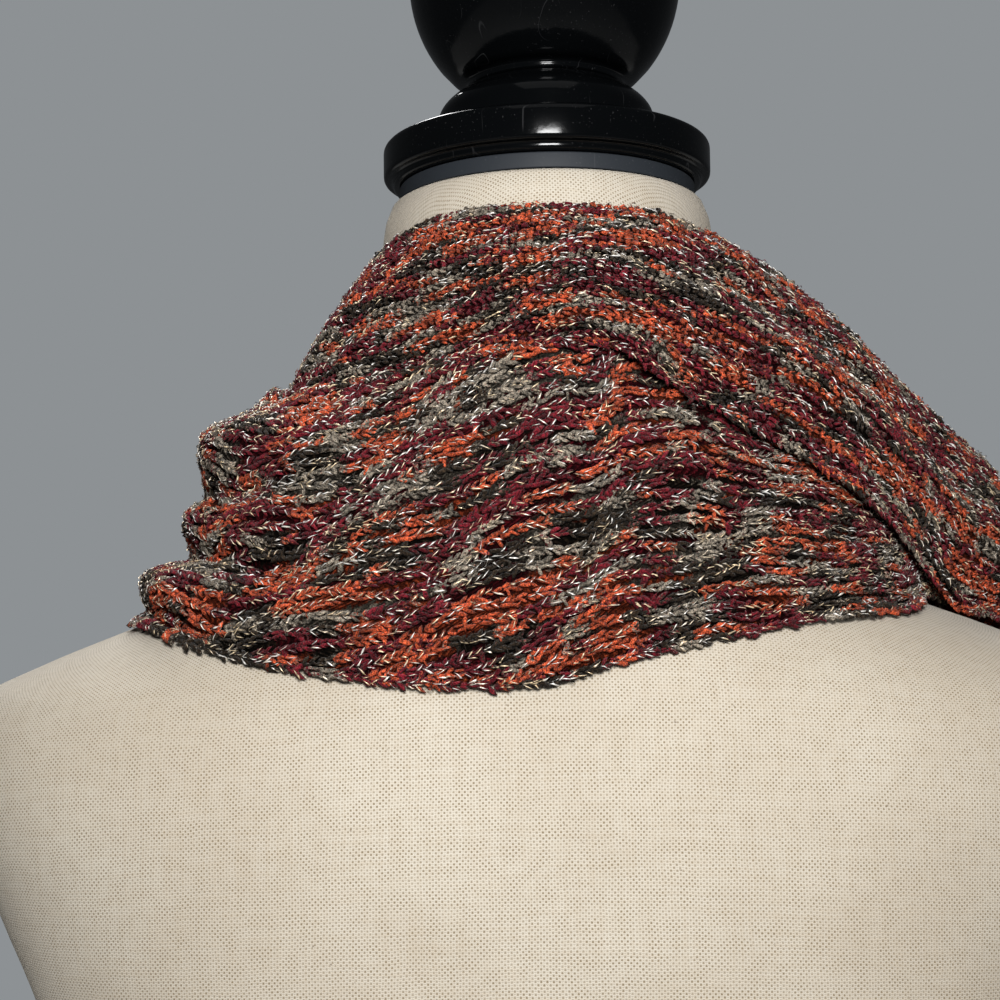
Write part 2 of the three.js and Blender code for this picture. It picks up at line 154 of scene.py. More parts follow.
# %% The folds
# From turn, to turn, across at the start, across at the end, spread, height
FOLDS = [
    (508, 596, 0.25, 0.28, 0.12, 8),
    (515, 603, 0.73, 0.68, 0.07, -8),
    (512, 590, 0.9, 0.86, 0.08, 6),
    (516, 594, 0.52, 0.42, 0.06, -5),
    (590, 672, 0.3, 0.45, 0.1, 2.5),
    (600, 690, 0.62, 0.72, 0.09, -2.5),
    (196, 262, 0.45, 0.55, 0.1, -2),
    (292, 372, 0.3, 0.36, 0.1, -3),
    (300, 392, 0.62, 0.6, 0.12, 3.5),
    (384, 520, 0.22, 0.2, 0.09, 6),
    (378, 524, 0.42, 0.45, 0.08, -6),
    (392, 512, 0.64, 0.66, 0.1, 6),
    (400, 505, 0.86, 0.88, 0.07, -5),
    (735, 868, 0.24, 0.3, 0.1, 4),
    (742, 880, 0.5, 0.52, 0.08, -4),
    (750, 862, 0.76, 0.74, 0.1, 3),
]

FADE_SHARE = 0.35

print("folds:", len(FOLDS))

# %% [markdown]
# ## Reading a table smoothly
# Between two rows a cubic curve is drawn. Its slope at a row is the harmonic mean of the slopes on
# either side, and level where the column turns, so that the curve never overshoots a girth that
# was measured. It could be done with splines, but those bulge between uneven rows.

# %% A cubic through a table's column
def table_slopes(keys, values):
    """The slope at each row: the harmonic mean of the steps beside it, or 0 where they disagree."""
    steps = np.diff(values) / np.diff(keys)
    before = np.concatenate([steps[:1], steps])
    after = np.concatenate([steps, steps[-1:]])
    agree = before * after > 0
    total = np.where(agree, before + after, 1.0)
    slopes = np.where(agree, 2 * before * after / total, 0.0)
    slopes[0], slopes[-1] = steps[0], steps[-1]
    return slopes


def read_table(table, column, at):
    """A table's column at any key: a cubic between rows that keeps the rows' values and slopes."""
    keys = table[:, 0]
    values = table[:, column]
    slopes = table_slopes(keys, values)
    at = np.asarray(at, dtype=float)
    low = np.clip(np.searchsorted(keys, at) - 1, 0, len(keys) - 2)
    span = keys[low + 1] - keys[low]
    t = np.clip((at - keys[low]) / span, 0, 1)
    t2 = t * t
    t3 = t2 * t
    start = (2 * t3 - 3 * t2 + 1) * values[low] + (t3 - 2 * t2 + t) * slopes[low] * span
    end = (3 * t2 - 2 * t3) * values[low + 1] + (t3 - t2) * slopes[low + 1] * span
    return start + end


print("half width at the shoulders:", float(read_table(FORM_SECTIONS, 1, 512)), "mm")

# %% [markdown]
# ## The form's surface
# Each girth is a rounded oblong: a curve between an ellipse and a rectangle. The radius at an angle
# is one over the root of the summed powers of cosine over half width and sine over depth. The
# cloth may not touch it, so a second function rolls a small circle over the form.

# %% The form's radius, and the same moved out
ROLLING_TILTS = np.radians([-60, -30, 0, 30, 60, 90])


def form_radius(angle, height):
    """(|cos a / half width|^p + |sin a / depth|^p)^(-1/p), with the depth behind or in front."""
    half_width = read_table(FORM_SECTIONS, 1, height)
    back = read_table(FORM_SECTIONS, 2, height)
    front = read_table(FORM_SECTIONS, 3, height)
    power = read_table(FORM_SECTIONS, 4, height)
    depth = np.where(np.sin(angle) >= 0, front, back)
    across = np.abs(np.cos(angle) / half_width) ** power
    through = np.abs(np.sin(angle) / depth) ** power
    return (across + through) ** (-1 / power)


def clear_of_form(angle, height, distance):
    """The furthest reach of a circle of that radius rolled over the form, at an angle and height."""
    nudge = 0.02
    here = form_radius(angle, height)
    widening = (form_radius(angle + nudge, height) - form_radius(angle - nudge, height)) / (2 * nudge)
    slant = np.hypot(1, widening / here)
    reaches = [
        form_radius(angle, height - distance * np.sin(tilt)) + distance * slant * np.cos(tilt)
        for tilt in ROLLING_TILTS
    ]
    return np.max(reaches, axis=0)


print("back of the neck:", round(float(form_radius(-math.pi / 2, 640)), 1), "mm")

# %% [markdown]
# ## The cloth's surface
# The cloth at a turn is a straight line from its top edge to its foot, bellied out like a sail and
# lifted by the folds. A fold is a bell curve across the cloth that fades in and out along it.
# Lastly any point that would sink into the form is pushed out along its radius.

# %% Folds, and points round the axis
def ease(t):
    """A rising curve from 0 to 1 with level ends: 3t^2 - 2t^3."""
    s = np.clip(t, 0, 1)
    return s * s * (3 - 2 * s)


def fold_height(turn, across):
    """The sum of the folds: height times two fades along, times exp(-((across - crest) / spread)^2)."""
    lift = np.zeros(np.broadcast(turn, across).shape)
    for start, end, start_across, end_across, spread, height in FOLDS:
        for wind in (-FULL_WINDING, 0, FULL_WINDING):
            t = (turn + wind - start) / (end - start)
            fade = ease(t / FADE_SHARE) * ease((1 - t) / FADE_SHARE)
            crest = start_across + (end_across - start_across) * np.clip(t, 0, 1)
            lift = lift + height * fade * np.exp(-(((across - crest) / spread) ** 2))
    return lift


def polar(angle, radius, height):
    """(radius cos a, radius sin a, height): points at an angle in radians round the neck's axis."""
    parts = np.broadcast_arrays(radius * np.cos(angle), radius * np.sin(angle), height)
    return np.stack(parts, axis=-1)


def unit(vectors):
    """The same directions, one long."""
    return vectors / np.maximum(np.linalg.norm(vectors, axis=-1, keepdims=True), 1e-9)


print("height of the folds over the left shoulder:", np.round(fold_height(550, 0.25), 1), "mm")

# %% A point on the cloth
CLOTH_THICKNESS = 2.6
REST_GAP = 0.7
SMALL_TURN = 0.5
SMALL_SHARE = 0.02


def cloth_point(turn, across):
    """top + across * (foot - top) + outward * (belly * sin(pi * across) + folds), kept off the form."""
    turn, across = np.broadcast_arrays(np.asarray(turn, float), np.asarray(across, float))
    read = [read_table(SCARF_LOOP, column, turn) for column in range(BELLY + 1)]
    top = polar(np.radians(turn + read[LEAN]), read[TOP_RADIUS], read[TOP_HEIGHT])
    foot = polar(np.radians(turn - read[LEAN]), read[FOOT_RADIUS], read[FOOT_HEIGHT])
    chord = unit(foot - top)
    radial = polar(np.radians(turn), 1.0, 0.0)
    outward = unit(radial - chord * np.sum(radial * chord, axis=-1, keepdims=True))
    rise = read[BELLY] * np.sin(np.pi * across) + fold_height(turn, across)
    point = top + across[..., None] * (foot - top) + outward * rise[..., None]
    angle = np.arctan2(point[..., 1], point[..., 0])
    radius = np.hypot(point[..., 0], point[..., 1])
    clear = clear_of_form(angle, point[..., 2], CLOTH_THICKNESS / 2 + REST_GAP)
    push = np.maximum(1.0, clear / radius)
    return point * np.stack([push, push, np.ones_like(push)], axis=-1)


def step_down(turn, across):
    """A small step down the cloth, and the share across that it covers."""
    low = np.maximum(across - SMALL_SHARE, 0)
    high = np.minimum(across + SMALL_SHARE, 1)
    return cloth_point(turn, high) - cloth_point(turn, low), high - low


def cloth_outward(turn, across):
    """The direction out of the cloth: the step down it crossed with the step along it."""
    along = cloth_point(turn + SMALL_TURN, across) - cloth_point(turn - SMALL_TURN, across)
    return unit(np.cross(step_down(turn, across)[0], along))


print("top edge behind the neck:", np.round(cloth_point(270.0, 0.0), 1), "mm")

# %% [markdown]
# ## From arrays to meshes
# Small helpers turn arrays into pieces: they list the squares of a grid, close a stack of rings at
# both ends, make the mesh, and store a value at each point. Points are written in millimetres and
# become metres here.

# %% Mesh helpers
def square_corners(grid):
    """A grid's values at the four corners of its squares, going round each square."""
    return [grid[:-1, :-1], grid[:-1, 1:], grid[1:, 1:], grid[1:, :-1]]


def grid_faces(rows, columns, wrap=False):
    """The squares between the points of a grid, and between its last and first column if it wraps."""
    numbers = np.arange(rows * columns).reshape(rows, columns)
    if wrap:
        numbers = np.concatenate([numbers, numbers[:, :1]], axis=1)
    return np.stack([corner.ravel() for corner in square_corners(numbers)], axis=1)


def closed_rings(rings, first_tip, last_tip):
    """Points of stacked rings and two tips, then the squares between rings and the fan at each tip."""
    rows, columns = rings.shape[:2]
    count = rows * columns
    last = count - columns
    column = np.arange(columns)
    after = (column + 1) % columns
    points = np.concatenate([rings.reshape(-1, 3), [first_tip, last_tip]])
    first_fan = np.stack([after, column, np.full_like(column, count)], axis=1)
    last_fan = np.stack([last + column, last + after, np.full_like(column, count + 1)], axis=1)
    return points, [grid_faces(rows, columns, wrap=True), first_fan, last_fan]


def closed_on_axis(rings, low, high):
    """The same, with both tips on the neck's axis at two heights."""
    return closed_rings(rings, (0, 0, low), (0, 0, high))


def add_piece(name, points, faces, material):
    """A smooth mesh from points in millimetres and rows of point numbers, with one material."""
    mesh = bpy.data.meshes.new(name)
    rows = [f.tolist() for f in faces] if isinstance(faces, list) else [faces.tolist()]
    mesh.from_pydata((points * MM).tolist(), [], sum(rows, []))
    mesh.shade_smooth()
    mesh.materials.append(material)
    piece = bpy.data.objects.new(name, mesh)
    bpy.context.scene.collection.objects.link(piece)
    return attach(piece, "root")


def add_point_colours(piece, name, values):
    """Stores three numbers at each point as a colour attribute that shaders can read."""
    rgba = np.concatenate([values, np.ones((len(values), 1))], axis=1)
    attribute = piece.data.attributes.new(name, "FLOAT_COLOR", "POINT")
    attribute.data.foreach_set("color", rgba.astype(np.float32).ravel())


print("a 3 by 4 grid has", len(grid_faces(3, 4)), "squares")

# %% [markdown]
# ## Shader helpers
# A material is a small graph. One helper adds a node and fills its inputs with numbers or with
# links, another starts a material, and a third starts a group that several materials share.

# %% Nodes and sums
def srgb(red, green, blue):
    """A colour as it looks on a screen, 0 to 255, in the linear light that shaders work in."""
    values = np.array([red, green, blue]) / 255
    linear = np.where(values <= 0.04045, values / 12.92, ((values + 0.055) / 1.055) ** 2.4)
    return (*(float(v) for v in linear), 1.0)


def add_node(tree, kind, inputs=None, **settings):
    """Adds a node, with its settings, and sets or links its inputs by name or number."""
    node = tree.nodes.new(kind)
    for key, value in settings.items():
        setattr(node, key, value)
    for key, value in (inputs or {}).items():
        if isinstance(value, bpy.types.NodeSocket):
            tree.links.new(value, node.inputs[key])
        else:
            node.inputs[key].default_value = value
    return node


def calculate(tree, operation, first, second=0.0, third=0.0):
    """One sum on numbers, such as MULTIPLY or SINE, and its result's socket."""
    inputs = {0: first, 1: second, 2: third}
    return add_node(tree, "ShaderNodeMath", inputs, operation=operation).outputs[0]


def vector_sum(tree, operation, first, second, third=(0.0, 0.0, 0.0)):
    """The same for three numbers at once, such as a place or a colour."""
    inputs = {0: first, 1: second, 2: third}
    return add_node(tree, "ShaderNodeVectorMath", inputs, operation=operation).outputs[0]


def blend_colours(tree, share, first, second):
    """Mixes two colours by a share, and gives the result's socket."""
    return add_node(tree, "ShaderNodeMix", {0: share, 6: first, 7: second}, data_type="RGBA").outputs[2]


def noise(tree, place, scale, detail=2.0):
    """Soft random values from 0 to 1 at a place, with about that many lumps to a metre."""
    inputs = {"Vector": place, "Scale": scale, "Detail": detail}
    return add_node(tree, "ShaderNodeTexNoise", inputs).outputs[0]


def map_range(tree, value, low, high, new_low=0.0, new_high=1.0):
    """Stretches a value between two limits to two new ones, smoothly and without overshoot."""
    inputs = {0: value, 1: low, 2: high, 3: new_low, 4: new_high}
    return add_node(tree, "ShaderNodeMapRange", inputs, interpolation_type="SMOOTHSTEP").outputs[0]


print("white in linear light:", srgb(255, 255, 255))

# %% Materials and groups
def add_bump(tree, shader, height, strength, depth):
    """Lets a height from 0 to 1 tilt the shader's normal, as a relief of that depth in metres."""
    inputs = {"Strength": strength, "Distance": depth, "Height": height}
    tree.links.new(add_node(tree, "ShaderNodeBump", inputs).outputs[0], shader.inputs["Normal"])


def start_material(name):
    """An empty material with its output, and one principled shader to fill in."""
    material = bpy.data.materials.new(name)
    material.use_nodes = True
    tree = material.node_tree
    tree.nodes.clear()
    shader = add_node(tree, "ShaderNodeBsdfPrincipled")
    add_node(tree, "ShaderNodeOutputMaterial", {"Surface": shader.outputs[0]})
    return material, tree, shader


def set_shader(shader, **values):
    """Sets plain numbers on the shader's own sockets, with spaces in names as underscores."""
    for key, value in values.items():
        shader.inputs[key.replace("_", " ")].default_value = value


def start_group(name, inputs, outputs):
    """An empty shared group with named sockets, and the node that brings its inputs in."""
    tree = bpy.data.node_groups.new(name, "ShaderNodeTree")
    for label, kind in inputs.items():
        tree.interface.new_socket(name=label, in_out="INPUT", socket_type="NodeSocket" + kind)
    for label, kind in outputs.items():
        tree.interface.new_socket(name=label, in_out="OUTPUT", socket_type="NodeSocket" + kind)
    return tree, tree.nodes.new("NodeGroupInput")


def finish_group(tree, outputs):
    """Links a group's results to its named outputs."""
    add_node(tree, "NodeGroupOutput", outputs)
    return tree


def use_group(tree, group, inputs):
    """Places a shared group in a graph."""
    return add_node(tree, "ShaderNodeGroup", inputs, node_tree=group)


print("groups so far:", len(bpy.data.node_groups))

# %% [markdown]
# ## The dyed yarn
# Space-dyed yarn is dipped in several baths, so that its colour changes every centimetre or two:
# here rust orange, maroon, olive black and taupe. Each point of the yarn carries its shares of the
# first three, and the rest is taupe. Wool is heathered: fibres of other shades show through, which
# fine noise gives. The group is shared by the yarn and by the cloth between the stitches, which is
# painted darker as shade.

# %% Group: space-dyed yarn
RUST_ORANGE = srgb(182, 78, 46)
MAROON = srgb(102, 22, 32)
OLIVE_BLACK = srgb(44, 34, 24)
TAUPE = srgb(136, 126, 112)
STRAY_FACTORS = (2.6, -2.2, 2.4)
STRAND_SCALE = 1300.0
SPECKLE_SCALE = 2300.0
PATCH_SCALE = 320.0


def dyed_yarn_group():
    """Each fibre takes the dye whose share, with noise added, passes a half. Then noise shades it."""
    tree, given = start_group(
        "Space-dyed yarn",
        {"Shares": "Color", "Shade": "Float", "Place": "Vector"},
        {"Colour": "Color", "Fibres": "Float"},
    )
    shares = add_node(tree, "ShaderNodeSeparateColor", {0: given.outputs["Shares"]})
    strands = noise(tree, given.outputs["Place"], STRAND_SCALE)
    stray = calculate(tree, "SUBTRACT", strands, 0.5)
    colour = TAUPE
    for number, dye in enumerate((RUST_ORANGE, MAROON, OLIVE_BLACK)):
        share = calculate(tree, "MULTIPLY_ADD", stray, STRAY_FACTORS[number], shares.outputs[number])
        colour = blend_colours(tree, map_range(tree, share, 0.36, 0.64), colour, dye)
    speckle = noise(tree, given.outputs["Place"], SPECKLE_SCALE, 3.0)
    patches = noise(tree, given.outputs["Place"], PATCH_SCALE)
    light = map_range(tree, speckle, 0.38, 0.64, 0.32, 1.7)
    drift = map_range(tree, patches, 0.35, 0.65, 0.6, 1.35)
    shade = calculate(tree, "MULTIPLY", calculate(tree, "MULTIPLY", light, drift), given.outputs["Shade"])
    return finish_group(tree, {"Colour": vector_sum(tree, "MULTIPLY", colour, shade), "Fibres": speckle})


DYED_YARN = dyed_yarn_group()

print("dyes:", len(STRAY_FACTORS) + 1)

# %% [markdown]
# ## The yarn's finish
# Wool is matt, and its stray fibres catch light at the edges: high roughness and a soft sheen. The
# bump is the fibres themselves, a few tenths of a millimetre across.

# %% Material: yarn
def yarn_material():
    """Dyed, heathered wool with a soft sheen."""
    material, tree, shader = start_material("dyed_yarn")
    place = add_node(tree, "ShaderNodeTexCoord").outputs["Object"]
    shares = add_node(tree, "ShaderNodeAttribute", attribute_name="dye").outputs["Color"]
    shade = add_node(tree, "ShaderNodeAttribute", attribute_name="shade").outputs["Fac"]
    dyed = use_group(tree, DYED_YARN, {"Shares": shares, "Shade": shade, "Place": place})
    tree.links.new(dyed.outputs["Colour"], shader.inputs["Base Color"])
    add_bump(tree, shader, dyed.outputs["Fibres"], 1.0, 0.0008)
    set_shader(shader, Roughness=0.9, Sheen_Weight=0.08, Sheen_Roughness=0.4, Specular_IOR_Level=0.1)
    return material


YARN = yarn_material()

print("material:", YARN.name)

# %% [markdown]
# ## The metallic thread
# A fine silvery ribbon is plied with the wool. It shows as short bright dashes where a stitch lifts
# it to the surface. Metal film on a paper core glitters at every angle, so it is one third metal and
# the rest a pale body, with pale gold in some places.

# %% Material: metallic thread
SILVER = srgb(250, 246, 240)
PALE_GOLD = srgb(246, 222, 184)


def thread_material():
    """Silver thread that drifts to pale gold."""
    material, tree, shader = start_material("metallic_thread")
    place = add_node(tree, "ShaderNodeTexCoord").outputs["Object"]
    drift = map_range(tree, noise(tree, place, 150.0, 1.0), 0.4, 0.62)
    tree.links.new(blend_colours(tree, drift, SILVER, PALE_GOLD), shader.inputs["Base Color"])
    set_shader(shader, Metallic=0.35, Roughness=0.3)
    return material


THREAD = thread_material()

print("material:", THREAD.name)

# %% [markdown]
# ## The cloth between the stitches
# Under the raised stitches lies the fabric's own ground: the backs of the loops, in the same dyes,
# with painted shade that makes them dark, because little light gets in. Its flat coordinate counts
# stitches along and cords across, so that the ground is knitted too: each stitch is a chevron of two
# slanting legs, with deeper painted shade in the hollows between them.

# %% Material: knitted ground
LEG_SLANT = 1.7
# Painted shade: the ground's brightness, from its hollows to its crowns
GROUND_PAINTED_SHADE = (0.07, 0.26)


def ground_material():
    """Dyed wool with a chevron relief from stitch and cord counts, and painted shade darkest in its
    hollows.
    """
    material, tree, shader = start_material("knitted_ground_painted_shade")
    place = add_node(tree, "ShaderNodeTexCoord").outputs["Object"]
    shares = add_node(tree, "ShaderNodeAttribute", attribute_name="dye").outputs["Color"]
    dyed = use_group(tree, DYED_YARN, {"Shares": shares, "Shade": 1.0, "Place": place})
    flat = add_node(tree, "ShaderNodeUVMap", uv_map="stitches").outputs[0]
    parts = add_node(tree, "ShaderNodeSeparateXYZ", {0: flat})
    cord = calculate(tree, "FRACT", parts.outputs[1])
    aside = calculate(tree, "ABSOLUTE", calculate(tree, "SUBTRACT", cord, 0.5))
    slanted = calculate(tree, "MULTIPLY_ADD", aside, LEG_SLANT, parts.outputs[0])
    wave = calculate(tree, "SINE", calculate(tree, "MULTIPLY", slanted, 2 * math.pi))
    leg = map_range(tree, wave, -0.7, 0.8)
    crown = map_range(tree, aside, 0.5, 0.22)
    height = calculate(tree, "MULTIPLY", leg, crown)
    # Painted shade: the dye is darkened most where the chevron is low
    light = map_range(tree, height, 0.0, 1.0, *GROUND_PAINTED_SHADE)
    colour = vector_sum(tree, "MULTIPLY", dyed.outputs["Colour"], light)
    relief = calculate(tree, "MULTIPLY_ADD", dyed.outputs["Fibres"], 0.3, height)
    tree.links.new(colour, shader.inputs["Base Color"])
    add_bump(tree, shader, relief, 0.8, 0.0008)
    set_shader(shader, Roughness=0.95, Specular_IOR_Level=0.05)
    return material


GROUND = ground_material()

print("material:", GROUND.name)

# %% [markdown]
# ## The linen
# The form is covered in natural plain-weave linen of about thirteen threads to a centimetre. In
# plain weave a warp thread and a weft thread cover each other in turn, like a chessboard. The pores
# between the threads are painted darker as shade, in small dots, and every second one is wider,
# because the threads pull apart there. Linen yarn is uneven: slubs run along the threads, and dark
# flecks of straw stay in it. The flat coordinate is a length in metres round the form and up it.

# %% The weave, its slubs and its pores
THREADS_PER_METRE = 1280.0
SLUB_STRETCHES = ((1080.0, 45.0, 1.0), (45.0, 1080.0, 1.0))
WANDER_SCALE = 90.0
THREAD_WANDER = 0.0011
PORE_SCALE = 240.0


def wandering_place(tree, flat):
    """The flat coordinate, moved a little by noise, so that no thread is quite straight."""
    inputs = {"Vector": flat, "Scale": WANDER_SCALE, "Detail": 2.0}
    wander = add_node(tree, "ShaderNodeTexNoise", inputs)
    shift = vector_sum(tree, "SUBTRACT", wander.outputs["Color"], (0.5, 0.5, 0.5))
    return vector_sum(tree, "MULTIPLY_ADD", shift, (THREAD_WANDER, THREAD_WANDER, 0.0), flat)


def plain_weave(tree, moved):
    """Threads |sin x| and |sin y|, their chessboard cos x cos y, and the height of whichever is on top."""
    parts = add_node(tree, "ShaderNodeSeparateXYZ", {0: moved})
    turns = [calculate(tree, "MULTIPLY", parts.outputs[i], THREADS_PER_METRE * math.pi) for i in (0, 1)]
    warp, weft = (calculate(tree, "ABSOLUTE", calculate(tree, "SINE", turn)) for turn in turns)
    cosines = [calculate(tree, "COSINE", turn) for turn in turns]
    board = calculate(tree, "MULTIPLY", cosines[0], cosines[1])
    over = map_range(tree, board, -0.35, 0.35)
    under = calculate(tree, "SUBTRACT", 1.0, over)
    warp_top = calculate(tree, "MULTIPLY", warp, calculate(tree, "MULTIPLY_ADD", over, 0.4, 0.3))
    weft_top = calculate(tree, "MULTIPLY", weft, calculate(tree, "MULTIPLY_ADD", under, 0.6, 0.4))
    return warp, weft, board, calculate(tree, "MAXIMUM", warp_top, weft_top)


def slub_mask(tree, moved):
    """Noise drawn out along each set of threads in turn, and the mean of both."""
    places = [vector_sum(tree, "MULTIPLY", moved, stretch) for stretch in SLUB_STRETCHES]
    slubs = [map_range(tree, noise(tree, place, 1.0, 1.0), 0.35, 0.7) for place in places]
    return calculate(tree, "MULTIPLY", calculate(tree, "ADD", slubs[0], slubs[1]), 0.5)


def pore_shade_mask(tree, flat, warp, weft, board):
    """Painted shade: dark where both threads are low, darker at the chessboard's peaks, as open as noise
    says.
    """
    narrow = map_range(tree, calculate(tree, "MAXIMUM", warp, weft), 0.4, 0.85, 0.25, 0.0)
    openness = map_range(tree, noise(tree, flat, PORE_SCALE), 0.35, 0.65, 0.6, 0.95)
    wide = calculate(tree, "MULTIPLY", map_range(tree, board, 0.0, 0.8), openness)
    return calculate(tree, "MAXIMUM", narrow, wide)


print("threads to a centimetre:", THREADS_PER_METRE / 100)

# %% Material: linen
STAIN_SCALE = 14.0
FLECK_SCALE = 620.0
LINEN_PALE = srgb(206, 198, 183)
LINEN_DULL = srgb(194, 184, 168)
LINEN_SLUB = srgb(184, 168, 144)
# Painted shade in the pores between the threads
LINEN_PORE_SHADE = srgb(132, 116, 92)
LINEN_FLECK = srgb(92, 70, 48)


def linen_material():
    """The weave's relief, over a stained pale colour with slubs, painted shade in the pores, and straw
    flecks.
    """
    material, tree, shader = start_material("natural_linen")
    flat = add_node(tree, "ShaderNodeUVMap", uv_map="weave").outputs[0]
    moved = wandering_place(tree, flat)
    warp, weft, board, height = plain_weave(tree, moved)
    slub = slub_mask(tree, moved)
    stain = map_range(tree, noise(tree, flat, STAIN_SCALE, 3.0), 0.3, 0.7)
    fleck = map_range(tree, noise(tree, flat, FLECK_SCALE), 0.71, 0.79)
    colour = blend_colours(tree, stain, LINEN_DULL, LINEN_PALE)
    colour = blend_colours(tree, calculate(tree, "MULTIPLY", slub, 0.35), colour, LINEN_SLUB)
    # Painted shade in the pores
    colour = blend_colours(tree, pore_shade_mask(tree, flat, warp, weft, board), colour, LINEN_PORE_SHADE)
    colour = blend_colours(tree, calculate(tree, "MULTIPLY", fleck, 0.6), colour, LINEN_FLECK)
    tree.links.new(colour, shader.inputs["Base Color"])
    add_bump(tree, shader, calculate(tree, "MULTIPLY_ADD", slub, 0.4, height), 0.5, 0.0003)
    set_shader(shader, Roughness=0.82, Sheen_Weight=0.12, Sheen_Roughness=0.5, Specular_IOR_Level=0.2)
    return material


LINEN = linen_material()

print("material:", LINEN.name)

# %% [markdown]
# ## Dust and scratches
# A glossy black cap never stays clean: dust settles as pale points, and handling leaves fine curved
# hairlines. One group makes both masks, and the lacquer, the satin base and the plate share it.

# %% Group: dust and scratches
SCRATCH_STRETCH = (130.0, 130.0, 9.0)
DUST_SCALE = 1500.0
CLOUD_SCALE = 35.0
MARK_SCALE = 70.0


def wear_group():
    """Dust is the peaks of fine noise. A scratch is where noise, drawn out upwards, crosses one value."""
    results = {"Dust": "Float", "Scratch": "Float"}
    tree, given = start_group("Dust and scratches", {"Place": "Vector"}, results)
    place = given.outputs["Place"]
    fine = noise(tree, place, DUST_SCALE, 1.0)
    cloud = map_range(tree, noise(tree, place, CLOUD_SCALE), 0.4, 0.65)
    dust = calculate(tree, "MULTIPLY", map_range(tree, fine, 0.7, 0.78), cloud)
    drawn = noise(tree, vector_sum(tree, "MULTIPLY", place, SCRATCH_STRETCH), 1.0, 0.0)
    crossing = calculate(tree, "ABSOLUTE", calculate(tree, "SUBTRACT", drawn, 0.5))
    line = map_range(tree, crossing, 0.008, 0.0)
    handled = map_range(tree, noise(tree, place, MARK_SCALE, 1.0), 0.52, 0.66)
    return finish_group(tree, {"Dust": dust, "Scratch": calculate(tree, "MULTIPLY", line, handled)})


WEAR = wear_group()

print("group:", WEAR.name)

# %% [markdown]
# ## The black finishes
# The cap and finial are turned wood under gloss black lacquer: a sharp reflection, a faint orange
# peel, dust and hairlines. The base is sprayed satin black. The neck's plate is matt charcoal.

# %% Materials: lacquer, satin paint and plate
DUST_GREY = srgb(150, 150, 152)
SCRATCH_SHARE = 0.07
SMEAR_SCALE = 24.0
PEEL_SCALE = 420.0


def black_material(name, colour, roughness, gloss, dust_share):
    """Black paint whose roughness rises in dust and scratches. Gloss is how much it reflects."""
    material, tree, shader = start_material(name)
    place = add_node(tree, "ShaderNodeTexCoord").outputs["Object"]
    wear = use_group(tree, WEAR, {"Place": place})
    dust = calculate(tree, "MULTIPLY", wear.outputs["Dust"], dust_share)
    scratch = calculate(tree, "MULTIPLY", wear.outputs["Scratch"], SCRATCH_SHARE)
    marks = calculate(tree, "MAXIMUM", dust, scratch)
    painted = blend_colours(tree, marks, colour, DUST_GREY)
    smear = map_range(tree, noise(tree, place, SMEAR_SCALE, 3.0), 0.35, 0.7, 0.0, 0.06)
    rough = calculate(tree, "ADD", calculate(tree, "MULTIPLY_ADD", marks, 0.4, roughness), smear)
    tree.links.new(painted, shader.inputs["Base Color"])
    tree.links.new(rough, shader.inputs["Roughness"])
    add_bump(tree, shader, noise(tree, place, PEEL_SCALE, 1.0), 0.06, 0.0004)
    set_shader(shader, Specular_IOR_Level=gloss)
    return material


LACQUER = black_material("gloss_black_lacquer", srgb(5, 6, 7), 0.1, 0.16, 0.07)
SATIN = black_material("satin_black_paint", srgb(18, 18, 19), 0.42, 0.3, 0.3)
PLATE = black_material("charcoal_plate", srgb(37, 41, 46), 0.6, 0.25, 0.15)

print("materials:", LACQUER.name, SATIN.name, PLATE.name)

# %% [markdown]
# ## The linen skin
# The skin is one surface of height and angle, closed over the neck and under the hip. Its weave
# coordinate is a true length: round the form from the middle of the back, and up it. So the threads
# stay evenly apart where the form widens, and the two ends meet at the middle of the front.

# %% Lengths and flat coordinates
def lengths_between(points, axis):
    """The running length along a grid's rows or columns, from 0."""
    steps = np.linalg.norm(np.diff(points, axis=axis), axis=-1)
    start = np.zeros_like(np.take(steps, [0], axis=axis))
    return np.concatenate([start, np.cumsum(steps, axis=axis)], axis=axis)


def corner_values(values):
    """A grid's values at the corners of its squares, in the squares' own order."""
    return np.stack(square_corners(values), axis=2).reshape(-1, values.shape[-1])


def add_corner_uv(piece, name, corners, rest=0):
    """Stores a flat coordinate at each face corner. The last corners, on caps, get 0."""
    layer = piece.data.uv_layers.new(name=name)
    filled = np.concatenate([corners, np.zeros((rest, 2))])
    layer.data.foreach_set("uv", filled.astype(np.float32).ravel())


print("lengths at three points 2 mm apart:", lengths_between(np.array([[[0.0], [2.0], [4.0]]]), 1)[0])

# %% The form's skin
BASE_THICKNESS = 14.0
PIECE_GAP = 0.3
LINEN_TOP = 682.0
SKIN_COLUMNS = 192

# From height, to height, rows: closer together over the shoulders
SKIN_BANDS = [
    (BASE_THICKNESS + PIECE_GAP, 478, 58),
    (482, 604, 62),
    (609, LINEN_TOP - 1.6, 15),
]

# The neck's edge turns in: how far below the top, and how far in
EDGE_DROPS = np.array([0.8, 0.2, 0.0])
EDGE_INSETS = np.array([0.3, 1.0, 2.2])


def skin_rows():
    """Heights up the form, and how far each row is set in at the neck's edge."""
    upright = np.concatenate([np.linspace(*band) for band in SKIN_BANDS])
    heights = np.concatenate([upright, LINEN_TOP - EDGE_DROPS])
    inset = np.concatenate([np.zeros(len(upright)), EDGE_INSETS])
    return heights, inset


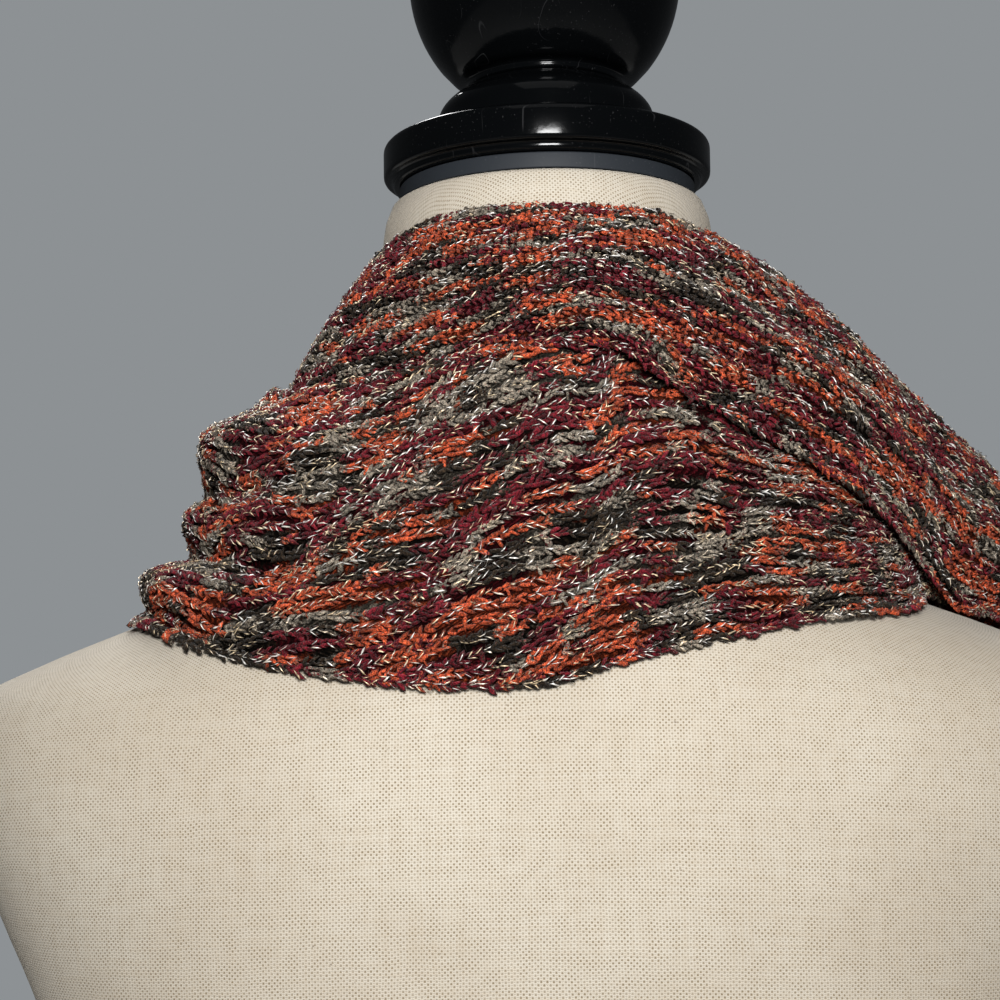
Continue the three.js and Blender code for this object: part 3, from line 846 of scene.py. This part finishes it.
def linen_skin():
    """Point(height, angle) = form radius less the edge's inset, closed by a fan at each end."""
    heights, inset = skin_rows()
    angles = np.linspace(math.pi / 2, math.pi / 2 + 2 * math.pi, SKIN_COLUMNS + 1)
    radius = form_radius(angles[None, :], heights[:, None]) - inset[:, None]
    points = polar(angles, radius, heights[:, None])
    around = lengths_between(points, 1)
    around = around - around[:, SKIN_COLUMNS // 2, None]
    up = lengths_between(points, 0)
    uv = np.stack([around, up], axis=-1) * MM
    vertices, faces = closed_on_axis(points[:, :-1], heights[0], heights[-1])
    skin = add_piece("form_linen", vertices, faces, LINEN)
    cap_corners = 3 * 2 * SKIN_COLUMNS
    add_corner_uv(skin, "weave", corner_values(uv), cap_corners)
    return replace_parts(skin, "form_torso")


SKIN = linen_skin()

print("linen skin:", len(SKIN.data.polygons), "faces")

# %% [markdown]
# ## The turned cap and the base
# The cap is turned on a lathe: a disc with a raised step, and a ball on a waist. A lathe's work is
# a profile spun about an axis, so each piece is one. A turner breaks every edge, which the rounding
# of the profile's corners does: a short curve replaces each corner.

# %% Rounded profiles, spun
LATHE_SIDES = 144


def curve(start, bend, end, steps):
    """Points from start to end, drawn towards a bend: (1-t)^2 start + 2t(1-t) bend + t^2 end."""
    t = np.linspace(0, 1, steps + 1)[:, None]
    return (1 - t) ** 2 * start + 2 * t * (1 - t) * bend + t**2 * end


def rounded_profile(corners, reach, steps=4):
    """Each inner corner becomes a curve between points that far from it, or nearer on a short side."""
    corners = np.array(corners, dtype=float)
    parts = [corners[:1]]
    for before, here, after in zip(corners[:-2], corners[1:-1], corners[2:]):
        start = here + unit(before - here) * min(reach, 0.45 * np.linalg.norm(before - here))
        end = here + unit(after - here) * min(reach, 0.45 * np.linalg.norm(after - here))
        parts.append(curve(start, here, end, steps))
    parts.append(corners[-1:])
    return np.concatenate(parts)


def spun_piece(name, profile, material, node):
    """Point(row, angle) = a profile's radius and height at an angle. Its two ends are on the axis."""
    angle = np.linspace(0, 2 * math.pi, LATHE_SIDES, endpoint=False)
    inner = profile[1:-1]
    rings = polar(angle, inner[:, :1], inner[:, 1:])
    points, faces = closed_on_axis(rings, profile[0, 1], profile[-1, 1])
    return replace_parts(add_piece(name, points, faces, material), node)


print("points on one rounded corner:", len(rounded_profile([(0, 0), (9, 0), (9, 9)], 1.0)) - 2)

# %% The cap, the ball and the plate
DISC_UNDERSIDE = 690.0
DISC_RADIUS = 53.6
DISC_THICKNESS = 12.0
BEVEL_HEIGHT = 1.6
BEVEL_WIDTH = 4.0
EDGE_REACH = 1.6
STEP_RADIUS = 35.5
STEP_STRAIGHT = 8.0
STEP_HEIGHT = 18.2
SHOULDER_RIM = 26.0
WAIST_RADIUS = 25.6
WAIST_HEIGHT = 2.6
COVE_REACH = 2.2
BALL_START_RADIUS = 30.0
BALL_RADIUS = 44.8
BALL_CENTRE = 757.2
PLATE_RADIUS = 48.5
RING_RADIUS = 50.5
RING_THICKNESS = 2.5


def ball_profile(low, steps=44):
    """The finial: a short waist, a small cove, then an arc of the ball to its top."""
    start = math.asin(BALL_START_RADIUS / BALL_RADIUS)
    polar_angle = np.linspace(math.pi - start, 0, steps)
    arc = BALL_RADIUS * np.stack([np.sin(polar_angle), np.cos(polar_angle)], axis=1) + [0, BALL_CENTRE]
    cove = [(0, low), (WAIST_RADIUS, low), (WAIST_RADIUS, low + WAIST_HEIGHT), arc[0], arc[3]]
    return np.concatenate([rounded_profile(cove, COVE_REACH, 6)[:-1], arc[3:]])


def cap_profile():
    """The ring, the disc and the step, with broken edges, then the shoulder's curve in to the waist."""
    top = DISC_UNDERSIDE + DISC_THICKNESS
    ring_low = DISC_UNDERSIDE - RING_THICKNESS
    corners = [(0, ring_low), (RING_RADIUS, ring_low), (RING_RADIUS, DISC_UNDERSIDE),
               (DISC_RADIUS, DISC_UNDERSIDE), (DISC_RADIUS, top - BEVEL_HEIGHT),
               (DISC_RADIUS - BEVEL_WIDTH, top), (STEP_RADIUS, top), (STEP_RADIUS, top + STEP_STRAIGHT)]
    side = np.array([STEP_RADIUS, top + STEP_STRAIGHT])
    bend = np.array([STEP_RADIUS, top + (STEP_STRAIGHT + STEP_HEIGHT) / 2])
    rim = np.array([SHOULDER_RIM, top + STEP_HEIGHT])
    shoulder = curve(side, bend, rim, 12)
    return np.concatenate([rounded_profile(corners, EDGE_REACH)[:-1], shoulder, [(0, top + STEP_HEIGHT)]])


def plate_profile():
    """The plate that closes the neck, a plain disc."""
    low = LINEN_TOP + PIECE_GAP
    high = DISC_UNDERSIDE - RING_THICKNESS - PIECE_GAP
    return rounded_profile([(0, low), (PLATE_RADIUS, low), (PLATE_RADIUS, high), (0, high)], 0.5)


spun_piece("cap_plate", plate_profile(), PLATE, "neck_plate")
spun_piece("cap_disc", cap_profile(), LACQUER, "neck_cap_disc")
finial_low = DISC_UNDERSIDE + DISC_THICKNESS + STEP_HEIGHT + PIECE_GAP
spun_piece("cap_ball", ball_profile(finial_low), LACQUER, "finial_ball")

print("top of the ball:", BALL_CENTRE + BALL_RADIUS, "mm")

# %% The base board
RIM_WIDTH = 30
BOARD_EDGE_REACH = 1.5


def base_board():
    """The hip's outline at the floor, carried round a board's edge: (radius - inset) at a height."""
    corners = [(RIM_WIDTH, 0), (0, 0), (0, BASE_THICKNESS), (RIM_WIDTH, BASE_THICKNESS)]
    edge = rounded_profile(corners, BOARD_EDGE_REACH, 5)
    angles = np.linspace(0, 2 * math.pi, SKIN_COLUMNS, endpoint=False)
    radius = form_radius(angles, 0.0)[None, :] - edge[:, :1]
    points, faces = closed_on_axis(polar(angles, radius, edge[:, 1:]), 0.0, BASE_THICKNESS)
    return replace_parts(add_piece("board", points, faces, SATIN), "base_board")


BOARD = base_board()

print("base board:", len(BOARD.data.polygons), "faces")

# %% [markdown]
# ## The knitted cloth
# Each stretch of the scarf is a thin ground of cloth. It is one grid over turn and across, given a
# thickness by a modifier that also closes its rim. The yarn lies on it as lines of stitches, and
# each line, or cord, runs along the cloth. Behind the neck the cloth rolls: its upper cords run in
# under the wrap above while as many roll out at the foot, so there the cords climb slantwise. A
# cord's place across is its number, less the cords rolled in so far, over the cords that show.

# %% Where the cords run
CORDS = 26
ROLLED_CORDS = 11
ALL_CORDS = CORDS + ROLLED_CORDS
EDGE_CORDS = (ALL_CORDS, ALL_CORDS + 1)
EDGE_PLACES = (-0.012, 1.0)
ROLL_STARTS, ROLL_FALLS, ROLL_SPAN = 562, 762, 84
CRUMPLED_TURN, CRUMPLED_SPREAD, CRUMPLED_EXTRA = 555, 34, 1.2
SHARED_WANDER, SLOW_WANDER, QUICK_WANDER = 0.32, 0.14, 0.12
GROUND_THICKNESS = 1.2
GROUND_DEPTH = 0.6
cord_phases = rng.uniform(0, 2 * math.pi, (2, ALL_CORDS + 2))


def rolled_in(turn):
    """How many cords have run in under the wrap above at a turn: it rises, holds and falls."""
    return ROLLED_CORDS * (ease((turn - ROLL_STARTS) / ROLL_SPAN) - ease((turn - ROLL_FALLS) / ROLL_SPAN))


def cord_across(number, turn):
    """The share across of a cord, with a shared wander and one of its own. Edge cords keep the edge."""
    phase = cord_phases[:, number.astype(int)]
    crumpled = 1 + CRUMPLED_EXTRA * np.exp(-(((turn - CRUMPLED_TURN) / CRUMPLED_SPREAD) ** 2))
    together = SHARED_WANDER * crumpled * np.sin(np.radians(turn * 13) + 0.35 * number)
    slow = SLOW_WANDER * np.sin(np.radians(turn * 10) + phase[0])
    quick = QUICK_WANDER * np.sin(np.radians(turn * 25) + phase[1])
    across = (number + 0.5 + together + slow + quick - rolled_in(turn)) / CORDS
    across = np.where(number == EDGE_CORDS[0], EDGE_PLACES[0], across)
    return np.where(number == EDGE_CORDS[1], EDGE_PLACES[1], across)


print("cords that show across the cloth:", CORDS)

# %% [markdown]
# ## Dye along the cords
# A table holds one colour for each millimetre of each cord. Runs of 5 to 17 mm follow one another
# at random, with maroon the most common. Here and there a cord takes its neighbour's run, because
# a yarn's colours pool from row to row.

# %% The dye table
DYE_CHANCES = [0.27, 0.37, 0.21, 0.15]
DYE_LENGTH = 520
DYE_RUN = (5, 18)
POOLED_SHARE = 0.22
POOLED_RUN = (8, 20)
DYE_STEPS = (-1.6, 0.0, 1.6)


def random_runs(values, shortest, limit):
    """One value for each millimetre of a cord, held for runs of random length, below the limit."""
    lengths = rng.integers(shortest, limit, DYE_LENGTH)
    return np.repeat(values, lengths)[:DYE_LENGTH]


def dye_table():
    """Colour numbers for each cord and millimetre: 0 orange, 1 maroon, 2 olive black, 3 taupe."""
    rows = []
    for cord in range(ALL_CORDS + 2):
        own = random_runs(rng.choice(4, DYE_LENGTH, p=DYE_CHANCES), *DYE_RUN)
        if cord > 0:
            pooled = random_runs(rng.random(DYE_LENGTH) < POOLED_SHARE, *POOLED_RUN)
            own = np.where(pooled, np.roll(rows[-1], int(rng.integers(-6, 7))), own)
        rows.append(own)
    return np.array(rows)


def dye_shares(table, cord, length):
    """Shares of the first three dyes at a cord and a length along it: the mean of three places."""
    shares = np.eye(4)[:, :3]
    cord = np.clip(np.round(cord).astype(int), 0, ALL_CORDS + 1)
    near = [np.clip((length + step).astype(int), 0, DYE_LENGTH - 1) for step in DYE_STEPS]
    return sum(shares[table[cord, place]] for place in near) / len(near)


print("longest cord dyed:", DYE_LENGTH, "mm")

# %% [markdown]
# ## One stitch
# A stitch seen from the face is a V of two legs. A leg is a short length of yarn: a tube that
# starts at the cord's middle, rises and ends at its side, thinner at both ends where it dives
# under the next stitch. The same few faces are laid down thousands of times, so they are few.

# %% Tubes, and copies of them
def tube(path, radii, sides):
    """Rings square to a path, path + r (cos a side + sin a up), and a tip at each end, in triangles."""
    path = np.array(path, dtype=float)
    along = unit(np.gradient(path, axis=0))
    side = unit(np.cross(along, [0.0, 0.0, 1.0]))
    up = np.cross(side, along)
    angle = np.linspace(0, 2 * math.pi, sides, endpoint=False)[None, :, None]
    radii = np.array(radii)[:, None, None]
    rings = path[1:-1, None] + radii * (np.cos(angle) * side[1:-1, None] + np.sin(angle) * up[1:-1, None])
    points, (squares, first_fan, last_fan) = closed_rings(rings, path[0], path[-1])
    return points, np.concatenate([squares[:, [0, 1, 2]], squares[:, [0, 2, 3]], first_fan, last_fan])


def lay_copies(template, places, frames, scales):
    """Every copy's points: place + x * along + y * across + z * outward, with x, y and z scaled."""
    points, faces = template
    local = points[None] * scales[:, None, :]
    laid = places[:, None] + np.einsum("nvk,nkj->nvj", local, frames)
    numbers = faces[None] + (np.arange(len(places)) * len(points))[:, None, None]
    return laid.reshape(-1, 3), numbers.reshape(-1, 3)


straight_path = [(0, 0, 0), (1, 0, 0), (2, 0, 0), (3, 0, 0)]
print("points in a tube of two square rings:", len(tube(straight_path, [1, 1], 4)[0]))

# %% The stitch's own shapes
LEG_RADIUS = 0.74
BUMP_RADIUS = 0.76
BAR_RADIUS = 0.5
DASH_RADIUS = 0.11
HAIR_RADIUS = 0.055
leg_path = [(-2.2, 0.1, -0.3), (-1.0, 0.45, 0.3), (0.7, 1.15, 0.35), (2.0, 1.5, -0.4)]
bump_path = [(-1.2, -0.1, -0.3), (-0.8, 0.6, 0.35), (0.2, 1.25, 0.4), (1.2, 1.7, -0.35)]
dash_path = [(-1.9, 0.2, 0.6), (-0.7, 0.45, 1.05), (0.8, 1.15, 1.1), (1.9, 1.75, 0.6)]
hair_path = [(-1.0, 0.3, 0.2), (0.1, 0.9, 1.05), (1.2, 1.3, 0.7)]
bar_path = [(-1.2, 0.0, -0.2), (-0.4, 0.35, 0.15), (0.4, 0.65, 0.15), (1.2, 1.0, -0.2)]


def faces_outward(template):
    """The same shape with its faces turned, if they enclose a negative volume."""
    points, faces = template
    a, b, c = (points[faces[:, i]] for i in range(3))
    volume = np.einsum("ij,ij->", a, np.cross(b, c)) / 6
    return (points, faces if volume > 0 else faces[:, ::-1])


def pair(path, radius, sides):
    """A tube along a path, and its mirror image across the cord."""
    radii = [radius] * (len(path) - 2)
    mirrored = np.array(path) * [1.0, -1.0, 1.0]
    return [faces_outward(tube(p, radii, sides)) for p in (path, mirrored)]


LEGS = pair(leg_path, LEG_RADIUS, 4)
BUMPS = pair(bump_path, BUMP_RADIUS, 4)
DASHES = pair(dash_path, DASH_RADIUS, 3)
HAIRS = pair(hair_path, HAIR_RADIUS, 3)
BAR = pair(bar_path, BAR_RADIUS, 4)[0]

print("faces in a leg:", len(LEGS[0][1]), " in a dash:", len(DASHES[0][1]))

# %% [markdown]
# ## Laying the stitches
# Along each cord the stitches are 2.4 mm apart on the back, and a little more where the cloth hangs
# stretched in front. At each one a small frame of three directions is found: along the cord, across
# it and out of the cloth. Each stitch is turned, shifted and scaled a little at random, because
# knitted loops of soft wool are never quite the same. Short stray hairs stand off the yarn, and they
# give the wool its blurred outline.

# %% Stitch places and frames
STITCH_PITCH = 2.4
STRETCHED_PITCH = 2.8
USUAL_SPACING = 4.5
CORD_STEP = 0.4
EDGE_SHARE = 0.005


def stitch_places(start, end, pitch):
    """Turns and lengths at even steps of true length along every cord of a stretch."""
    turn = np.linspace(start, end, int((end - start) * 2) + 1)
    cords = np.arange(ALL_CORDS + 2)
    across = cord_across(cords[:, None] + 0.0, turn[None, :])
    points = cloth_point(turn[None, :], np.clip(across, 0, 1))
    length = lengths_between(points, 1)
    found = []
    for cord in cords:
        count = int(length[cord, -1] / pitch)
        at = (np.arange(count) + rng.uniform(0.2, 0.8)) * length[cord, -1] / count
        found.append(np.stack([np.full(count, cord), np.interp(at, length[cord], turn), at], axis=1))
    found = np.concatenate(found)
    across = cord_across(found[:, 0], found[:, 1])
    on_edge = found[:, 0] >= ALL_CORDS
    return found[on_edge | (across > EDGE_SHARE) & (across < 1 - EDGE_SHARE)]


def stitch_frames(cord, turn):
    """Place, frame and cord spacing at each stitch, from small steps of the cloth's surface."""
    across = cord_across(cord, turn)
    place = cloth_point(turn, across)
    before, after = (cloth_point(t, cord_across(cord, t)) for t in (turn - CORD_STEP, turn + CORD_STEP))
    along = unit(after - before)
    outward = cloth_outward(turn, across)
    sideways = unit(np.cross(outward, along))
    outward = np.cross(along, sideways)
    step, share = step_down(turn, across)
    spacing = np.linalg.norm(step, axis=1) / share / CORDS
    return place, np.stack([along, sideways, outward], axis=1), spacing


def turned_frames(frames, degrees):
    """The frames turned about their outward direction."""
    cosine = np.cos(np.radians(degrees))[:, None]
    sine = np.sin(np.radians(degrees))[:, None]
    along = cosine * frames[:, 0] + sine * frames[:, 1]
    sideways = cosine * frames[:, 1] - sine * frames[:, 0]
    return np.stack([along, sideways, frames[:, 2]], axis=1)


print("stitches along 100 mm:", int(100 / STITCH_PITCH))

# %% Gaps, bars and stray hairs
YARN_LIFT = 0.35
PLACE_SPREAD = 0.2
BAR_SHARE = 0.12
HAIR_SHARE = 0.4
HAIR_TURN = 50


def away_from(places, gaps):
    """Which places lie further from every gap's centre than its radius."""
    away = np.ones(len(places), dtype=bool)
    for turn, across, radius in gaps:
        away &= np.linalg.norm(places - cloth_point(float(turn), float(across)), axis=1) > radius
    return away


def moved_a_little(place, frames):
    """The places, lifted onto the ground and moved at random out of the cloth and across it."""
    count = len(place)
    place = place + frames[:, 2] * (YARN_LIFT + rng.normal(0, PLACE_SPREAD, count))[:, None]
    return place + frames[:, 1] * rng.normal(0, PLACE_SPREAD, count)[:, None]


def bars(place, frames, spacing, cord, shares):
    """Low bars of yarn from some stitches to the next cord, as long as the cords are apart."""
    count = len(place)
    barred = (rng.random(count) < BAR_SHARE) & (cord < ALL_CORDS - 1)
    reach = np.stack([rng.uniform(-1.2, 1.2, count), -spacing, np.ones(count)], axis=1)
    return BAR, place[barred], frames[barred], reach[barred], shares[barred]


def stray_hairs(hair, place, frames, shares):
    """Short hairs on some of the stitches, each blown its own way."""
    count = len(place)
    stray = rng.random(count) < HAIR_SHARE
    blown = turned_frames(frames, rng.normal(0, HAIR_TURN, count))
    long = rng.uniform(0.6, 1.7, (count, 3)) * [1.0, 1.0, 0.9]
    return hair, place[stray], blown[stray], long[stray], shares[stray]


print("share of legs with a stray hair:", HAIR_SHARE)

# %% The yarn of one stretch
YARN_UNEVENNESS = 0.13
SIZE_SPREAD = 0.16
LEG_TURN = 19


def lay_yarn(name, start, end, pitch, table, legs, gaps):
    """Both legs of every stitch, low bars between neighbouring cords, and stray hairs, as one piece."""
    found = stitch_places(start, end, pitch)
    found = found[away_from(stitch_frames(*found.T[:2])[0], gaps)]
    cord, turn, length = found.T
    place, frames, spacing = stitch_frames(cord, turn)
    place = moved_a_little(place, frames)
    shares = dye_shares(table, cord, length)
    width = np.clip(spacing / USUAL_SPACING, 0.55, 1.35)
    size = rng.normal(1, SIZE_SPREAD, len(found))
    scales = np.stack([size, width * size, np.clip(width, 0.8, 1.1)], axis=1)
    parts = []
    for leg in legs:
        turned = turned_frames(frames, rng.normal(0, LEG_TURN, len(found)))
        parts.append((leg, place, turned, scales, shares))
    parts.append(bars(place, frames, spacing, cord, shares))
    for hair in HAIRS:
        parts.append(stray_hairs(hair, place, frames, shares))
    return found, place, frames, scales, join_copies(name, parts, YARN)


def join_copies(name, parts, material):
    """Makes one piece of several sets of copies, each with its dye shares."""
    points, faces, colours, shades, total = [], [], [], [], 0
    for template, place, frames, scales, shares in parts:
        laid, numbers = lay_copies(template, place, frames, scales)
        points.append(laid + rng.normal(0, YARN_UNEVENNESS, laid.shape))
        faces.append(numbers + total)
        colours.append(np.repeat(shares, len(template[0]), axis=0))
        shades.append(np.repeat(rng.uniform(0.6, 1.25, len(place)), len(template[0])))
        total += len(laid)
    piece = add_piece(name, np.concatenate(points), np.concatenate(faces), material)
    add_point_colours(piece, "dye", np.concatenate(colours))
    shade = piece.data.attributes.new("shade", "FLOAT", "POINT")
    shade.data.foreach_set("value", np.concatenate(shades).astype(np.float32))
    return piece


print("unevenness of the yarn:", YARN_UNEVENNESS, "mm")

# %% The thread of one stretch
DASH_TURN = 12


def lay_thread(name, share, place, frames, scales):
    """Bright dashes over that share of the legs, of uneven length."""
    parts = []
    count = len(place)
    for dash in DASHES:
        shown = rng.random(count) < share
        stretch = [rng.uniform(0.55, 1.1, count), scales[:, 1], rng.uniform(0.9, 1.15, count)]
        turned = turned_frames(frames, rng.normal(0, DASH_TURN, count))
        none = np.zeros((shown.sum(), 3))
        parts.append((dash, place[shown], turned[shown], np.stack(stretch, axis=1)[shown], none))
    return join_copies(name, parts, THREAD)


print("spread of the dashes' turns:", DASH_TURN, "degrees")

# %% [markdown]
# ## The ground of one stretch
# The ground lies a little inside the solid's middle, so that the yarn's crowns come level with the
# solid's outside. Where the knit is really open, on the right shoulder, a few squares are left out,
# and the thickness closes their edges. In other places only the yarn has parted over the ground.

# %% The ground
GROUND_TURN_STEP = 1.6
GROUND_ROWS = 45
GROUND_EDGES = (0.004, 0.996)


def lay_ground(name, start, end, table, gaps):
    """Point(turn, across) = cloth point - outward * depth, with the faces at the holes left out."""
    turn = np.linspace(start + 0.02, end - 0.02, int((end - start) / GROUND_TURN_STEP) + 1)
    across = np.linspace(*GROUND_EDGES, GROUND_ROWS)
    points = cloth_point(turn[None, :], across[:, None])
    points = points - GROUND_DEPTH * cloth_outward(turn[None, :], across[:, None])
    length = lengths_between(points, 1)
    cord = across[:, None] * CORDS + rolled_in(turn)[None, :]
    faces = grid_faces(len(across), len(turn))
    uv = corner_values(np.stack([length / STITCH_PITCH, cord], axis=-1))
    keep = away_from(points.reshape(-1, 3)[faces].mean(axis=1), gaps)
    ground = add_piece(name, points.reshape(-1, 3), faces[keep][:, ::-1], GROUND)
    flipped = uv.reshape(-1, 4, 2)[keep][:, ::-1].reshape(-1, 2)
    add_corner_uv(ground, "stitches", flipped)
    add_point_colours(ground, "dye", dye_shares(table, (cord - 0.5).ravel(), length.ravel()))
    thicken = ground.modifiers.new("thickness", "SOLIDIFY")
    thicken.thickness = GROUND_THICKNESS * MM
    thicken.offset = 0.0
    return ground


print("ground thickness:", GROUND_THICKNESS, "mm")

# %% The four stretches
# Name, from turn, to turn, flat width and length in metres, pitch, legs, share of legs with a dash
STRETCHES = [
    ("back_upper_wrap", 168, 376, 0.083, 0.34, STITCH_PITCH, BUMPS, 0.3),
    ("front_outer_drape", 376, 530, 0.085, 0.37, STRETCHED_PITCH, LEGS, 0.45),
    ("back_lower_wrap", 530, 722, 0.082, 0.35, STITCH_PITCH, LEGS, 0.5),
    ("front_inner_drape", 722, 888, 0.075, 0.30, STRETCHED_PITCH, LEGS, 0.4),
]

# Turn, share across, radius: eyelets right through the cloth, and gaps in the yarn alone
EYELETS = [(338.5, 0.28, 1.9), (337.4, 0.53, 1.7)]
YARN_GAPS = [(655.6, 0.26, 2.2), (654.6, 0.36, 1.8), (653.7, 0.48, 2.2), (649.3, 0.47, 1.8)]


def cloth_area(piece):
    """The area of one side of a piece's own grid, in square metres."""
    return sum(p.area for p in piece.data.polygons)


for name, start, end, wide, long, pitch, legs, glitter in STRETCHES:
    table = dye_table()
    ground = lay_ground(name + "_ground", start, end, table, EYELETS)
    found, place, frames, scales, yarn = lay_yarn(
        name + "_yarn", start, end, pitch, table, legs, EYELETS + YARN_GAPS)
    thread = lay_thread(name + "_thread", glitter, place, frames, scales)
    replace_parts(ground, name)
    print(name, "stitches", len(found), "yarn faces", len(yarn.data.polygons),
          "thread faces", len(thread.data.polygons), "area", round(cloth_area(ground), 4))

# %% [markdown]
# ## Floor, light and camera
# The part stands on a plain pale floor. The main light is a small soft panel a little above the
# camera, so the folds have narrow shadows under them, and a broad weak panel overhead fills the
# shoulders. A third panel lights the chest, which the camera doesn't see, so that the part can be
# looked at from the front too. The room is a grey that is seen behind the part and lights it only
# dimly. The camera looks at the back of the neck from close by, tipped up by three degrees.

# %% Floor and lights
FLOOR_SIZE = 3.0
FLOOR_DROP = 0.0004
BACKDROP = srgb(141, 145, 148)
AMBIENT = srgb(62, 64, 66)

# Name, place and target in metres, size in metres, watts
PANELS = [
    ("key", (0.0, -0.62, 0.73), (0, -0.05, 0.59), 0.14, 4.9),
    ("top", (0.0, -0.7, 1.7), (0, 0, 0.6), 1.0, 1.6),
    ("front", (-0.2, 1.1, 2.0), (0, 0, 0.45), 0.8, 26),
]


def pale_floor():
    """A square sheet just under the part's underside."""
    bpy.ops.mesh.primitive_plane_add(size=FLOOR_SIZE, location=(0, 0, -FLOOR_DROP))
    floor = bpy.context.object
    floor.name = "floor"
    material, tree, shader = start_material("pale_floor")
    set_shader(shader, Base_Color=srgb(214, 214, 212), Roughness=0.7)
    floor.data.materials.append(material)


def panel_light(name, place, target, size, watts):
    """A square area light, aimed at a point."""
    light = bpy.data.lights.new(name, "AREA")
    light.size = size
    light.energy = watts
    lamp = bpy.data.objects.new(name, light)
    lamp.location = place
    lamp.rotation_euler = (Vector(target) - Vector(place)).to_track_quat("-Z", "Y").to_euler()
    lamp.visible_camera = False
    bpy.context.scene.collection.objects.link(lamp)


def dim_room(backdrop, ambient):
    """A room that is seen as a grey wall, and that lights the part only dimly."""
    world = bpy.data.worlds.new("surround")
    world.use_nodes = True
    tree = world.node_tree
    tree.nodes.clear()
    seen = add_node(tree, "ShaderNodeLightPath").outputs["Is Camera Ray"]
    colour = blend_colours(tree, seen, ambient, backdrop)
    background = add_node(tree, "ShaderNodeBackground", {"Color": colour})
    add_node(tree, "ShaderNodeOutputWorld", {"Surface": background.outputs[0]})
    bpy.context.scene.world = world


pale_floor()
for panel in PANELS:
    panel_light(*panel)
dim_room(BACKDROP, AMBIENT)
bpy.context.scene.view_settings.view_transform = "Standard"

print("panel lights:", [panel[0] for panel in PANELS])

# %% Camera
CAMERA_PLACE = (-0.0168, -0.521, 0.5554)
CAMERA_PITCH = 3.3
CAMERA_ROLL = 0.6
CAMERA_LENS = 57.6


def place_camera(place, pitch, roll, lens):
    """A camera that looks along +Y, tipped up by pitch and rolled, in degrees."""
    data = bpy.data.cameras.new("view")
    data.lens = lens
    data.sensor_width = 36.0
    data.clip_start = 0.01
    camera = bpy.data.objects.new("view", data)
    camera.location = place
    camera.rotation_mode = "XYZ"
    camera.rotation_euler = (math.radians(90 + pitch), math.radians(roll), 0)
    bpy.context.scene.collection.objects.link(camera)
    bpy.context.scene.camera = camera


place_camera(CAMERA_PLACE, CAMERA_PITCH, CAMERA_ROLL, CAMERA_LENS)

print("camera lens:", CAMERA_LENS, "mm")
